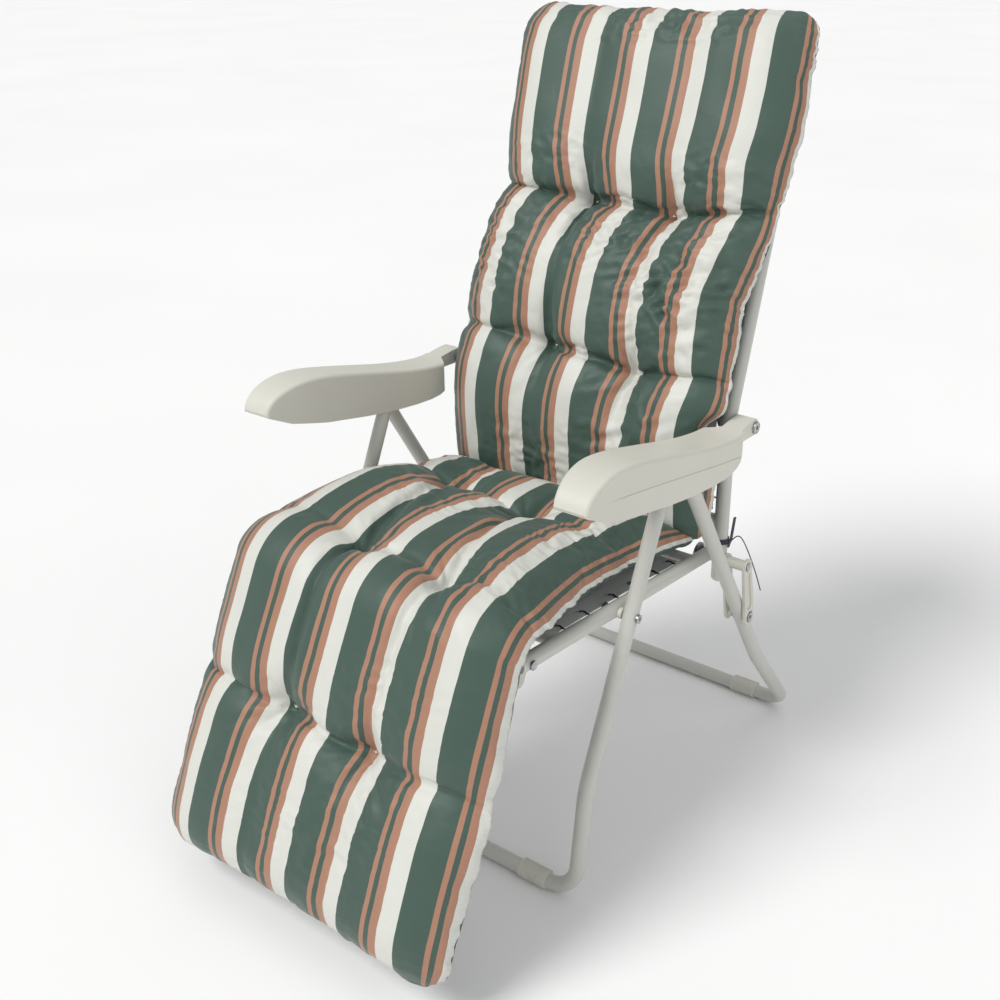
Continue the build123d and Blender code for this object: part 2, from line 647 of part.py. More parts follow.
with BuildPart() as footrest_caps:
    with Locations(*end_frames(X_FOOT, foot_top, (-FOOT_DIR[0], -FOOT_DIR[1]))):
        add(cap_unit.part)
footrest_caps.part.label = "footrest_caps"
export_step(footrest_caps.part, "parts/footrest_caps.step")

with BuildPart() as footrest_bolts:
    for s in (1, -1):
        for x, p, r, h in turned(s, PK, [(HEAD_R, 239.2, 242.0), (BOLT_R, 189.0, 239.2)]):
            with Locations(P(x, *p)):
                Cylinder(r, h, rotation=(0, 90, 0))
footrest_bolts.part.label = "footrest_bolts"
export_step(footrest_bolts.part, "parts/footrest_bolts.step")

with BuildPart() as footrest_nuts:
    with BuildSketch(SIDE.offset(187.6)):
        with Locations(PK):
            RegularPolygon(7.2, 6)
            Circle(BOLT_R + 0.03, mode=Mode.SUBTRACT)
    extrude(amount=4.0)
    with BuildSketch(SIDE.offset(-187.6)):
        with Locations(PK):
            RegularPolygon(7.2, 6)
            Circle(BOLT_R + 0.03, mode=Mode.SUBTRACT)
    extrude(amount=-4.0)
footrest_nuts.part.label = "footrest_nuts"
export_step(footrest_nuts.part, "parts/footrest_nuts.step")

foot_sling_a = along(PK, FOOT_DIR, 78.0)
foot_sling_b = along(PK, FOOT_DIR, FOOT_LEN - 16.0)
FOOT_EDGE = X_FOOT - EDGE_X
with BuildPart() as footrest_sling:
    with BuildSketch(SIDE.offset(-FOOT_EDGE)):
        with BuildLine():
            Polyline(
                along(foot_sling_a, foot_n, -SLING_T / 2),
                along(foot_sling_b, foot_n, -SLING_T / 2),
                along(foot_sling_b, foot_n, SLING_T / 2),
                along(foot_sling_a, foot_n, SLING_T / 2),
                close=True,
            )
        make_face()
    extrude(amount=2 * FOOT_EDGE)
    with BuildSketch(Plane(origin=P(0, *foot_sling_b), x_dir=(1, 0, 0), z_dir=(0, foot_n[0], foot_n[1]))) as foot_corners:
        with Locations((FOOT_EDGE, 0), (-FOOT_EDGE, 0)):
            Circle(34.0)
    extrude(amount=6.0, both=True, mode=Mode.SUBTRACT)
    with Locations(*[
        Plane(origin=P(s * (X_FOOT - EYELET_X), *p), x_dir=(1, 0, 0), z_dir=(0, foot_n[0], foot_n[1])).location
        for p in foot_hook_points for s in (1, -1)
    ]):
        Cylinder(EYELET_R, 20, mode=Mode.SUBTRACT)
footrest_sling.part.label = "footrest_sling"
export_step(footrest_sling.part, "parts/footrest_sling.step")

with BuildPart() as footrest_hooks:
    with Locations(*hook_frames(X_FOOT, foot_hook_points, foot_n)):
        add(hook_unit.part)
footrest_hooks.part.label = "footrest_hooks"
export_step(footrest_hooks.part, "parts/footrest_hooks.step")

# ------------------------------------------------------------------ armrests
# hollow moulded arms, open underneath; the legs' top pivot runs inside, under a
# notched rack between the two leg tubes, and the tail bolts to the backrest tube
ARM_IN = 238.4
ARM_OUT = 301.0
ARM_WALL = 2.6
TAIL_IN = 263.0
TAIL_OUT = 293.0
arm_top = [
    (-49.0, 634.0), (-44.0, 645.5), (-31.0, 657.0), (-10.0, 665.5), (16.0, 669.0), (46.0, 667.5),
    (86.0, 660.5), (130.0, 650.5), (190.0, 636.0), (250.0, 622.5), (300.0, 614.5),
    (338.0, 612.5), (370.0, 616.0), (394.0, 617.0),
]
arm_bottom = [
    (402.5, 609.0), (402.5, 592.5), (364.0, 593.5), (347.0, 594.0), (345.5, 584.0), (340.0, 573.5),
    (328.0, 565.5), (312.0, 561.0), (292.0, 559.8), (255.0, 561.7), (204.0, 566.8), (144.0, 576.3),
    (59.0, 592.7), (-9.0, 611.0), (-46.0, 629.0),
]
arm_ledge = [
    (-80.0, 644.5), (-2.0, 635.2), (65.0, 624.6), (164.0, 607.3), (245.0, 592.9), (330.0, 579.0), (352.0, 575.4), (420.0, 573.0),
]
cavity_top = [
    (-43.0, 637.0), (-39.0, 644.0), (-28.0, 653.0), (-9.0, 661.5), (16.0, 665.5), (46.0, 664.2),
    (86.0, 657.2), (130.0, 647.2), (190.0, 632.7), (250.0, 619.2), (300.0, 611.2), (330.0, 609.4),
]
rack_profile = [
    (222.0, 627.5), (190.0, 634.0), (130.0, 648.4), (86.0, 658.6), (46.0, 665.6), (24.0, 666.4),
    (26.0, 629.0), (38.0, 628.0), (43.0, 619.0), (50.0, 616.0), (57.0, 620.0), (69.0, 617.0),
    (74.0, 609.0), (82.0, 606.5), (90.0, 611.0), (103.0, 609.0), (109.0, 601.5), (126.0, 600.0),
    (138.0, 604.0), (148.0, 620.5), (222.0, 620.5),
]


with BuildPart() as arm_cavity:
    with BuildSketch(SIDE.offset(ARM_IN)):
        with BuildLine():
            Spline(*cavity_top)
            Polyline(cavity_top[-1], (338.0, 604.0), (340.5, 592.0), (337.0, 580.0), (330.0, 572.0), (330.0, 530.0), (-43.0, 530.0), cavity_top[0])
        make_face()
    extrude(amount=ARM_OUT - ARM_IN)
    # plan of the cavity, a wall thickness inside the arm's own plan
    with BuildSketch(Plane.XY.offset(520)):
        with BuildLine():
            Spline((252.6, -46 + Y_SHIFT), (247.2, -20 + Y_SHIFT), (ARM_IN + ARM_WALL, 44 + Y_SHIFT), tangents=((-0.2, 1), (0, 1)))
            Polyline(
                (ARM_IN + ARM_WALL, 44 + Y_SHIFT), (ARM_IN + ARM_WALL, 319 + Y_SHIFT), (262.5, 340.5 + Y_SHIFT),
                (ARM_OUT - 3.2, 340.5 + Y_SHIFT), (ARM_OUT - 3.2, 60 + Y_SHIFT),
            )
            Spline((ARM_OUT - 3.2, 60 + Y_SHIFT), (297.0, -10 + Y_SHIFT), (295.4, -46 + Y_SHIFT), tangents=((0, -1), (-0.05, -1)))
            Line((295.4, -46 + Y_SHIFT), (252.6, -46 + Y_SHIFT))
        make_face()
    extrude(amount=180, mode=Mode.INTERSECT)

with BuildPart() as armrest_right:
    with BuildSketch(SIDE.offset(ARM_IN - 1)):
        with BuildLine():
            Spline(*arm_top)
            Polyline(arm_top[-1], *arm_bottom, arm_top[0])
        make_face()
    extrude(amount=ARM_OUT - ARM_IN + 2)
    # plan outline: straight sides, drawn in towards the nose
    with BuildSketch(Plane.XY.offset(520)):
        with BuildLine():
            Spline((249.4, -52 + Y_SHIFT), (244.0, -22 + Y_SHIFT), (ARM_IN, 40 + Y_SHIFT), tangents=((-0.2, 1), (0, 1)))
            Line((ARM_IN, 40 + Y_SHIFT), (ARM_IN, 420 + Y_SHIFT))
            Line((ARM_IN, 420 + Y_SHIFT), (ARM_OUT, 420 + Y_SHIFT))
            Line((ARM_OUT, 420 + Y_SHIFT), (ARM_OUT, 60 + Y_SHIFT))
            Spline((ARM_OUT, 60 + Y_SHIFT), (300.2, -10 + Y_SHIFT), (298.4, -52 + Y_SHIFT), tangents=((0, -1), (-0.05, -1)))
            Line((298.4, -52 + Y_SHIFT), (249.4, -52 + Y_SHIFT))
        make_face()
    extrude(amount=180, mode=Mode.INTERSECT)
    # the upper part of the outer face is set back, leaving a fine ledge line
    with BuildSketch(SIDE.offset(ARM_OUT - 0.8)):
        with BuildLine():
            Polyline(*arm_ledge, (420.0, 590.0), (420.0, 700.0), (-80.0, 700.0), close=True)
        make_face()
    extrude(amount=5.0, mode=Mode.SUBTRACT)
    arm_roof = armrest_right.faces().filter_by(lambda f: f.center().Z > 620 and abs(f.normal_at(f.center()).X) < 0.3).sort_by(SortBy.AREA)[-1]
    fillet(arm_roof.edges().filter_by(lambda e: e.length > 30 and abs((e % 0.5).X) < 0.5), radius=6.0)
    # the tail narrows to the outside of the backrest tube
    with BuildSketch(Plane.XY.offset(520)):
        with BuildLine():
            Polyline(
                (ARM_IN - 3, 322 + Y_SHIFT), (TAIL_IN, 346 + Y_SHIFT), (TAIL_IN, 430 + Y_SHIFT), (ARM_IN - 3, 430 + Y_SHIFT),
                close=True,
            )
        make_face()
        with BuildLine():
            Polyline(
                (ARM_OUT + 3, 322 + Y_SHIFT), (299.4, 343 + Y_SHIFT), (TAIL_OUT, 349 + Y_SHIFT), (TAIL_OUT, 430 + Y_SHIFT),
                (ARM_OUT + 3, 430 + Y_SHIFT), close=True,
            )
        make_face()
    extrude(amount=180, mode=Mode.SUBTRACT)
    # cavity, open downwards
    add(arm_cavity.part, mode=Mode.SUBTRACT)
    # notched rack, a thin rib hanging from the roof between the two leg tubes
    with BuildSketch(SIDE.offset(268.5)):
        with BuildLine():
            Polyline(*rack_profile, close=True)
        make_face()
    extrude(amount=2.5)
    with Locations(P(278.0, *P5)):
        Cylinder(HOLE_R, 40, rotation=(0, 90, 0), mode=Mode.SUBTRACT)
armrest_right.part.label = "armrest_right"
export_step(armrest_right.part, "parts/armrest_right.step")

with BuildPart() as armrest_left:
    add(mirror(armrest_right.part, about=Plane.YZ, mode=Mode.PRIVATE))
armrest_left.part.label = "armrest_left"
export_step(armrest_left.part, "parts/armrest_left.step")

with BuildPart() as arm_bolts:
    for s in (1, -1):
        for x, p, r, h in turned(s, P5, [(9.0, 293.2, 296.6), (BOLT_R, 234.7, 293.2)]):
            with Locations(P(x, *p)):
                Cylinder(r, h, rotation=(0, 90, 0))
        with BuildSketch(SIDE.offset(s * 296.6)):
            with Locations(P5):
                RegularPolygon(3.2, 6)
        extrude(amount=-s * 1.8, mode=Mode.SUBTRACT)
arm_bolts.part.label = "arm_bolts"
export_step(arm_bolts.part, "parts/arm_bolts.step")

with BuildPart() as arm_nuts:
    with BuildSketch(SIDE.offset(234.6)):
        with Locations(P5):
            RegularPolygon(7.2, 6)
            Circle(BOLT_R + 0.03, mode=Mode.SUBTRACT)
    extrude(amount=3.0)
    with BuildSketch(SIDE.offset(-234.6)):
        with Locations(P5):
            RegularPolygon(7.2, 6)
            Circle(BOLT_R + 0.03, mode=Mode.SUBTRACT)
    extrude(amount=-3.0)
arm_nuts.part.label = "arm_nuts"
export_step(arm_nuts.part, "parts/arm_nuts.step")

with BuildPart() as arm_washers:
    for s in (1, -1):
        with Locations(P(s * 262.25, *P5)):
            Cylinder(12.0, 1.0, rotation=(0, 90, 0))
            Cylinder(HOLE_R, 3, rotation=(0, 90, 0), mode=Mode.SUBTRACT)
        with Locations(P(s * 238.05, *P5)):
            Cylinder(11.0, 0.8, rotation=(0, 90, 0))
            Cylinder(HOLE_R, 3, rotation=(0, 90, 0), mode=Mode.SUBTRACT)
arm_washers.part.label = "arm_washers"
export_step(arm_washers.part, "parts/arm_washers.step")

# ------------------------------------------------------------------ cushion sections
# three flat-sided solids with rounded edges, holding the space of the padding
s_fwd = (-s_back[0], -s_back[1])
seat_a = along(along(PK, seat_n, CUSH_GAP), s_back, 3.0)
seat_b = along(along(PK, seat_n, CUSH_GAP), s_back, 446.0)
seat_c = along(along(PK, seat_n, CUSH_GAP + CUSH_T), s_back, 412.0)
seat_d = along(along(PK, seat_n, CUSH_GAP + CUSH_T), s_back, 3.0)
with BuildPart() as cushion_seat:
    with BuildSketch(SIDE.offset(-CUSH_W_SEAT)):
        with BuildLine():
            Polyline(seat_a, seat_b, seat_c, seat_d, close=True)
        make_face()
    extrude(amount=2 * CUSH_W_SEAT)
    fillet(cushion_seat.edges().filter_by(Axis.X), radius=14.0)
cushion_seat.part.label = "cushion_seat"
export_step(cushion_seat.part, "parts/cushion_seat.step")

leg_a = along(along(PK, foot_n, CUSH_GAP), FOOT_DIR, 3.0)
leg_b = along(along(PK, foot_n, CUSH_GAP), FOOT_DIR, 412.0)
leg_c = along(along(PK, foot_n, CUSH_GAP + CUSH_LEG_T), FOOT_DIR, 412.0)
leg_d = along(along(PK, foot_n, CUSH_GAP + CUSH_LEG_T), FOOT_DIR, 3.0)
with BuildPart() as cushion_leg:
    with BuildSketch(SIDE.offset(-CUSH_W_LEG)):
        with BuildLine():
            Polyline(leg_a, leg_b, leg_c, leg_d, close=True)
        make_face()
    extrude(amount=2 * CUSH_W_LEG)
    fillet(cushion_leg.edges().filter_by(Axis.X), radius=14.0)
cushion_leg.part.label = "cushion_leg"
export_step(cushion_leg.part, "parts/cushion_leg.step")

CUSH_BACK_T = 70.5
back_low = along(P3, b_low, 106.0)
back_a = along(back_low, low_n, CUSH_GAP)
back_b = along(P5, bis, CUSH_GAP * bis_k)
back_c = along(along(P5, b_up, 582.0), up_n, CUSH_GAP)
back_d = along(along(P5, b_up, 582.0), up_n, CUSH_GAP + CUSH_BACK_T)
back_e = along(P5, bis, (CUSH_GAP + CUSH_BACK_T) * bis_k)
back_f = along(back_low, low_n, CUSH_GAP + CUSH_BACK_T)
with BuildPart() as cushion_back:
    with BuildSketch(SIDE.offset(-CUSH_W_BACK)):
        with BuildLine():
            Polyline(back_a, back_b, back_c, back_d, back_e, back_f, close=True)
        make_face()
    extrude(amount=2 * CUSH_W_BACK)
    fillet(cushion_back.edges().filter_by(Axis.X).group_by(Axis.Z)[-1], radius=20.0)
    # narrower between the armrests
    with Locations(P(CUSH_W_BACK, 330.0, 580.0), P(-CUSH_W_BACK, 330.0, 580.0)):
        Box(2 * (CUSH_W_BACK - 234.0), 260, 250, mode=Mode.SUBTRACT)
cushion_back.part.label = "cushion_back"
export_step(cushion_back.part, "parts/cushion_back.step")

# ------------------------------------------------------------------ cushion ties
# a band round each backrest tube, two stiff strap ends and a thin free ribbon
TIE_Z = 412.0
tie_at = along(P3, b_low, (TIE_Z - P3[1]) / b_low[1])
with BuildPart() as tie_bands:
    for s in (1, -1):
        with Locations(Plane(origin=P(s * X_BACK, *tie_at), x_dir=(1, 0, 0), z_dir=(0, b_low[0], b_low[1])).location):
            Cylinder(TUBE_R + 1.9, 8.0)
            Cylinder(TUBE_R + 0.1, 10.0, mode=Mode.SUBTRACT)
tie_bands.part.label = "tie_bands"
export_step(tie_bands.part, "parts/tie_bands.step")

with BuildPart() as tie_strap_ends:
    for s in (1, -1):
        with BuildSketch(SIDE.offset(s * 263.7)):
            with BuildLine():
                Polyline(
                    (386.5, 402.5), (391.0, 402.0), (394.0, 407.0), (398.5, 410.0), (407.5, 446.0), (401.0, 448.0),
                    (393.0, 417.0), (387.0, 410.0), close=True,
                )
            make_face()
        extrude(amount=s * 1.6)
tie_strap_ends.part.label = "tie_strap_ends"
export_step(tie_strap_ends.part, "parts/tie_strap_ends.step")

# free ribbon: leaves the knot backwards, arches over and hangs
RIBBON_R = 0.9
ribbon_route = [
    (266.4, 396.0, 412.5), (268.5, 404.0, 416.5), (270.5, 415.0, 412.0), (273.0, 425.0, 398.0),
    (275.5, 440.0, 372.0), (278.0, 455.0, 343.0), (280.5, 466.0, 318.0), (283.0, 474.0, 296.0),
]


def route_radii(pts):
    out = []
    for i in range(1, len(pts) - 1):
        a, b, c = (Vector(*pts[j]) for j in (i - 1, i, i + 1))
        turn = (b - a).get_angle(c - b)
        short = min((b - a).length, (c - b).length)
        out.append(0.45 * short / tan(radians(turn) / 2))
    return out


ribbon_radii = route_radii(ribbon_route)
print("ribbon radii", [round(r, 1) for r in ribbon_radii])
with BuildPart() as tie_ribbon_right:
    with BuildLine() as ribbon_path:
        FilletPolyline(*[P(*p) for p in ribbon_route], radius=ribbon_radii)
    with BuildSketch(Plane(origin=ribbon_path.line @ 0, z_dir=ribbon_path.line % 0)):
        Circle(RIBBON_R)
    sweep()
ribbon_len = ribbon_path.wires()[0].length
print("ribbon length", round(ribbon_len, 1), "volume ratio", round(tie_ribbon_right.part.volume / (ribbon_len * pi * RIBBON_R ** 2), 4))
tie_ribbon_right.part.label = "tie_ribbon_right"
export_step(tie_ribbon_right.part, "parts/tie_ribbon_right.step")

with BuildPart() as tie_ribbon_left:
    with BuildLine() as ribbon_path_left:
        FilletPolyline(*[P(-p[0], p[1], p[2]) for p in ribbon_route], radius=ribbon_radii)
    with BuildSketch(Plane(origin=ribbon_path_left.line @ 0, z_dir=ribbon_path_left.line % 0)):
        Circle(RIBBON_R)
    sweep()
tie_ribbon_left.part.label = "tie_ribbon_left"
export_step(tie_ribbon_left.part, "parts/tie_ribbon_left.step")
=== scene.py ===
import math
import bpy
import numpy as np
from mathutils import Matrix, Vector


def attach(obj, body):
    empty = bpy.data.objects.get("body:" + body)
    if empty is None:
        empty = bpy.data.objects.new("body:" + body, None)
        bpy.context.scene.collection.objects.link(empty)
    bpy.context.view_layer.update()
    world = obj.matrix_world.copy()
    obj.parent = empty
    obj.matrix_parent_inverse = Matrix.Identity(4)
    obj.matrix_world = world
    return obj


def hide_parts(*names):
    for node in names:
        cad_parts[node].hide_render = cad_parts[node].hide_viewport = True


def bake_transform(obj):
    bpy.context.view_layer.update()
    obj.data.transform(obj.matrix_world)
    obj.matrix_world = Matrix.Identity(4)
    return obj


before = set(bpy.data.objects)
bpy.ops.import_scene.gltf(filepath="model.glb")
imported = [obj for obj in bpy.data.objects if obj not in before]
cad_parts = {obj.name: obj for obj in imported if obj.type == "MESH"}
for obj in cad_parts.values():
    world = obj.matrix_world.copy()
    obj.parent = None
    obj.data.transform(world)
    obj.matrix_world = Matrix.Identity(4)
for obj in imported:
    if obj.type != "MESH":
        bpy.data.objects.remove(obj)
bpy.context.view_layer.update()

scene = bpy.context.scene
scene.view_settings.view_transform = "Standard"
scene.view_settings.look = "None"

YS = -0.1746                    # side-view coordinates to the row frame


def pt(x, y, z):
    """Millimetres in the side-view coordinates to metres in the row frame."""
    return (x / 1000.0, y / 1000.0 + YS, z / 1000.0)


# ---------------------------------------------------------------- camera
def place_camera():
    az, el, roll = math.radians(36.86), math.radians(22.53), math.radians(-0.14)
    v = Vector((-math.sin(az) * math.cos(el), math.cos(az) * math.cos(el), -math.sin(el)))
    r = Vector((math.cos(az), math.sin(az), 0.0))
    u = r.cross(v)
    r2 = r * math.cos(roll) + u * math.sin(roll)
    u2 = u * math.cos(roll) - r * math.sin(roll)
    data = bpy.data.cameras.new("camera")
    data.sensor_fit = "HORIZONTAL"
    data.sensor_width = 36.0
    data.lens = 1241.46 / 1000.0 * 36.0
    data.shift_x = -(527.68 - 500.0) / 1000.0
    data.shift_y = -(500.0 - 443.71) / 1000.0
    data.clip_start = 0.05
    data.clip_end = 200.0
    data.dof.use_dof = False
    cam = bpy.data.objects.new("camera", data)
    scene.collection.objects.link(cam)
    m = Matrix((
        (r2.x, u2.x, -v.x, 1.02882),
        (r2.y, u2.y, -v.y, -1.31232),
        (r2.z, u2.z, -v.z, 1.27014),
        (0, 0, 0, 1),
    ))
    cam.matrix_world = m
    scene.camera = cam
    return cam


camera = place_camera()


# ---------------------------------------------------------------- node material helpers
class Mat:
    def __init__(self, name):
        self.m = bpy.data.materials.new(name)
        self.m.use_nodes = True
        self.t = self.m.node_tree
        self.t.nodes.clear()
        self.out = self.t.nodes.new("ShaderNodeOutputMaterial")
        self.b = self.t.nodes.new("ShaderNodeBsdfPrincipled")
        self.t.links.new(self.b.outputs[0], self.out.inputs[0])

    def n(self, kind, **kw):
        node = self.t.nodes.new("ShaderNode" + kind)
        for k, val in kw.items():
            if k in node.inputs.keys():
                self.put(node.inputs[k], val)
            else:
                setattr(node, k, val)
        return node

    def put(self, socket, val):
        if isinstance(val, bpy.types.NodeSocket):
            self.t.links.new(val, socket)
        else:
            socket.default_value = val

    def math(self, op, a, b=None, c=None, clamp=False):
        node = self.t.nodes.new("ShaderNodeMath")
        node.operation = op
        node.use_clamp = clamp
        for i, val in enumerate((a, b, c)):
            if val is not None:
                self.put(node.inputs[i], val)
        return node.outputs[0]

    def mix(self, f, a, b, mode="MIX"):
        node = self.t.nodes.new("ShaderNodeMix")
        node.data_type = "RGBA"
        node.blend_type = mode
        self.put(node.inputs[0], f)
        self.put(node.inputs[6], a)
        self.put(node.inputs[7], b)
        return node.outputs[2]

    def attr(self, name):
        node = self.t.nodes.new("ShaderNodeAttribute")
        node.attribute_name = name
        return node.outputs["Fac"]

    def coords(self):
        return self.t.nodes.new("ShaderNodeTexCoord").outputs["Object"]

    def noise(self, vector, scale, detail=2.0, rough=0.5, distort=0.0):
        return self.n("TexNoise", Vector=vector, Scale=scale, Detail=detail, Roughness=rough, Distortion=distort).outputs[0]

    def ramp(self, f, stops, mode="LINEAR"):
        node = self.t.nodes.new("ShaderNodeValToRGB")
        node.color_ramp.interpolation = mode
        e = node.color_ramp.elements
        while len(e) > 1:
            e.remove(e[-1])
        e[0].position, e[0].color = stops[0]
        for p, col in stops[1:]:
            x = e.new(p)
            x.color = col
        self.put(node.inputs[0], f)
        return node.outputs[0]

    def bump(self, height, strength, distance, normal=None):
        node = self.t.nodes.new("ShaderNodeBump")
        node.inputs["Strength"].default_value = strength
        node.inputs["Distance"].default_value = distance
        self.put(node.inputs["Height"], height)
        if normal is not None:
            self.put(node.inputs["Normal"], normal)
        return node.outputs[0]


def srgb(r, g, b, k=1.0):
    def f(c):
        c = c / 255.0
        return (c / 12.92 if c <= 0.04045 else ((c + 0.055) / 1.055) ** 2.4) * k
    return (f(r), f(g), f(b), 1.0)


GREEN = srgb(64, 88, 78)
GREEN_DARK = srgb(55, 76, 67)
TERRA = srgb(172, 126, 102)
CREAM = srgb(219, 220, 212)


def weave_height(s, u, v, pitch):
    """A plain weave in the cloth's own coordinates, in metres."""
    k = math.pi / pitch
    a = s.math("SINE", s.math("MULTIPLY", u, k))
    b = s.math("SINE", s.math("MULTIPLY", v, k))
    return s.math("MULTIPLY_ADD", s.math("MULTIPLY", a, b), 0.5, 0.5)


def cushion_finish(s, base, u, v, e):
    """What the printed and the plain cushion cloth share: thread texture, soft mottling, fine seam puckers and a satin sheen."""
    o = s.coords()
    mottle = s.noise(o, 9.0, 3.0, 0.6)
    base = s.mix(0.35, base, s.ramp(mottle, [(0.3, (0.86, 0.87, 0.88, 1)), (0.7, (1.0, 1.0, 1.0, 1))]), "MULTIPLY")
    w = weave_height(s, u, v, 0.00075)
    thread = s.ramp(w, [(0.0, (0.90, 0.90, 0.90, 1)), (1.0, (1.0, 1.0, 1.0, 1))])
    base = s.mix(0.5, base, thread, "MULTIPLY")
    slub = s.n("TexNoise", Vector=s.n("CombineXYZ", X=s.math("MULTIPLY", u, 1800.0), Y=s.math("MULTIPLY", v, 60.0)).outputs[0], Scale=1.0, Detail=2.0).outputs[0]
    base = s.mix(0.25, base, s.ramp(slub, [(0.35, (0.88, 0.88, 0.88, 1)), (0.65, (1, 1, 1, 1))]), "MULTIPLY")
    near = s.math("POWER", 2.718, s.math("MULTIPLY", e, -38.0))
    pucker = s.n("TexNoise", Vector=s.n("CombineXYZ", X=s.math("MULTIPLY", u, 9.0), Y=s.math("MULTIPLY", v, 95.0)).outputs[0], Scale=1.0, Detail=3.0, Roughness=0.6).outputs[0]
    creases = s.noise(o, 26.0, 4.0, 0.62, 0.6)
    n1 = s.bump(s.math("MULTIPLY", pucker, near), 0.55, 0.010)
    n2 = s.bump(creases, 0.16, 0.006, n1)
    n3 = s.bump(w, 0.18, 0.0003, n2)
    s.put(s.b.inputs["Base Color"], base)
    s.put(s.b.inputs["Roughness"], s.ramp(mottle, [(0.3, (0.49, 0.49, 0.49, 1)), (0.7, (0.60, 0.60, 0.60, 1))]))
    s.b.inputs["Specular IOR Level"].default_value = 0.50
    s.b.inputs["Sheen Weight"].default_value = 0.14
    s.b.inputs["Sheen Roughness"].default_value = 0.45
    s.b.inputs["Sheen Tint"].default_value = (1.0, 1.0, 1.0, 1.0)
    s.put(s.b.inputs["Normal"], n3)


def striped_cloth():
    s = Mat("striped_cushion_cloth")
    u, v, e = s.attr("cloth_u"), s.attr("cloth_v"), s.attr("seam")
    wobble = s.math("MULTIPLY_ADD", s.noise(s.coords(), 60.0, 2.0), 0.006, -0.003)
    f = s.math("FRACT", s.math("MULTIPLY_ADD", s.attr("across"), 6.0, wobble))
    stripes = s.ramp(f, [
        (0.0, GREEN), (0.435, TERRA), (0.515, GREEN), (0.59, TERRA), (0.72, CREAM),
    ], "CONSTANT")
    cushion_finish(s, stripes, u, v, e)
    return s.m


def plain_cloth():
    s = Mat("green_cushion_cloth")
    cushion_finish(s, GREEN_DARK, s.attr("cloth_u"), s.attr("cloth_v"), s.attr("seam"))
    return s.m


def thread_material():
    s = Mat("tuft_thread")
    o = s.coords()
    f = s.noise(o, 900.0, 2.0)
    s.put(s.b.inputs["Base Color"], s.ramp(f, [(0.3, srgb(214, 209, 188)), (0.7, srgb(240, 236, 220))]))
    s.b.inputs["Roughness"].default_value = 0.8
    s.put(s.b.inputs["Normal"], s.bump(f, 0.4, 0.0006))
    return s.m


def painted_steel():
    s = Mat("frame_paint_powder_coat")
    o = s.coords()
    broad = s.noise(o, 7.0, 3.0, 0.55)
    fine = s.noise(o, 420.0, 2.0, 0.5)
    scuff = s.ramp(s.noise(o, 55.0, 5.0, 0.7, 0.4), [(0.66, (0, 0, 0, 1)), (0.80, (1, 1, 1, 1))])
    base = s.mix(broad, srgb(194, 194, 187), srgb(204, 204, 198))
    base = s.mix(s.math("MULTIPLY", scuff, 0.30), base, srgb(170, 169, 160))
    s.put(s.b.inputs["Base Color"], base)
    s.put(s.b.inputs["Roughness"], s.ramp(s.noise(o, 30.0, 3.0), [(0.3, (0.36, 0.36, 0.36, 1)), (0.7, (0.46, 0.46, 0.46, 1))]))
    s.b.inputs["Specular IOR Level"].default_value = 0.5
    s.put(s.b.inputs["Normal"], s.bump(fine, 0.09, 0.0008))
    return s.m


def arm_plastic():
    s = Mat("cream_moulded_plastic")
    o = s.coords()
    broad = s.noise(o, 5.0, 2.0, 0.5)
    grain = s.noise(o, 650.0, 3.0, 0.6)
    base = s.mix(broad, srgb(207, 205, 194), srgb(216, 215, 205))
    base = s.mix(s.ramp(s.noise(o, 38.0, 5.0, 0.7, 0.3), [(0.64, (0, 0, 0, 1)), (0.85, (0.35, 0.35, 0.35, 1))]), base, srgb(196, 190, 170))
    s.put(s.b.inputs["Base Color"], base)
    s.put(s.b.inputs["Roughness"], s.ramp(s.noise(o, 22.0, 3.0), [(0.3, (0.40, 0.40, 0.40, 1)), (0.7, (0.52, 0.52, 0.52, 1))]))
    s.b.inputs["Specular IOR Level"].default_value = 0.5
    s.b.inputs["Subsurface Weight"].default_value = 0.04
    s.b.inputs["Subsurface Radius"].default_value = (0.004, 0.003, 0.002)
    n1 = s.bump(s.noise(o, 45.0, 2.0, 0.5), 0.05, 0.003)
    s.put(s.b.inputs["Normal"], s.bump(grain, 0.12, 0.0005, n1))
    return s.m


def steel(name, lo, hi, rough):
    s = Mat(name)
    o = s.coords()
    f = s.noise(o, 160.0, 4.0, 0.6)
    s.put(s.b.inputs["Base Color"], s.ramp(f, [(0.3, lo), (0.7, hi)]))
    s.b.inputs["Metallic"].default_value = 1.0
    s.put(s.b.inputs["Roughness"], s.ramp(f, [(0.3, (rough, rough, rough, 1)), (0.7, (rough + 0.14, rough + 0.14, rough + 0.14, 1))]))
    s.put(s.b.inputs["Normal"], s.bump(s.noise(o, 700.0, 2.0), 0.10, 0.0004))
    return s.m


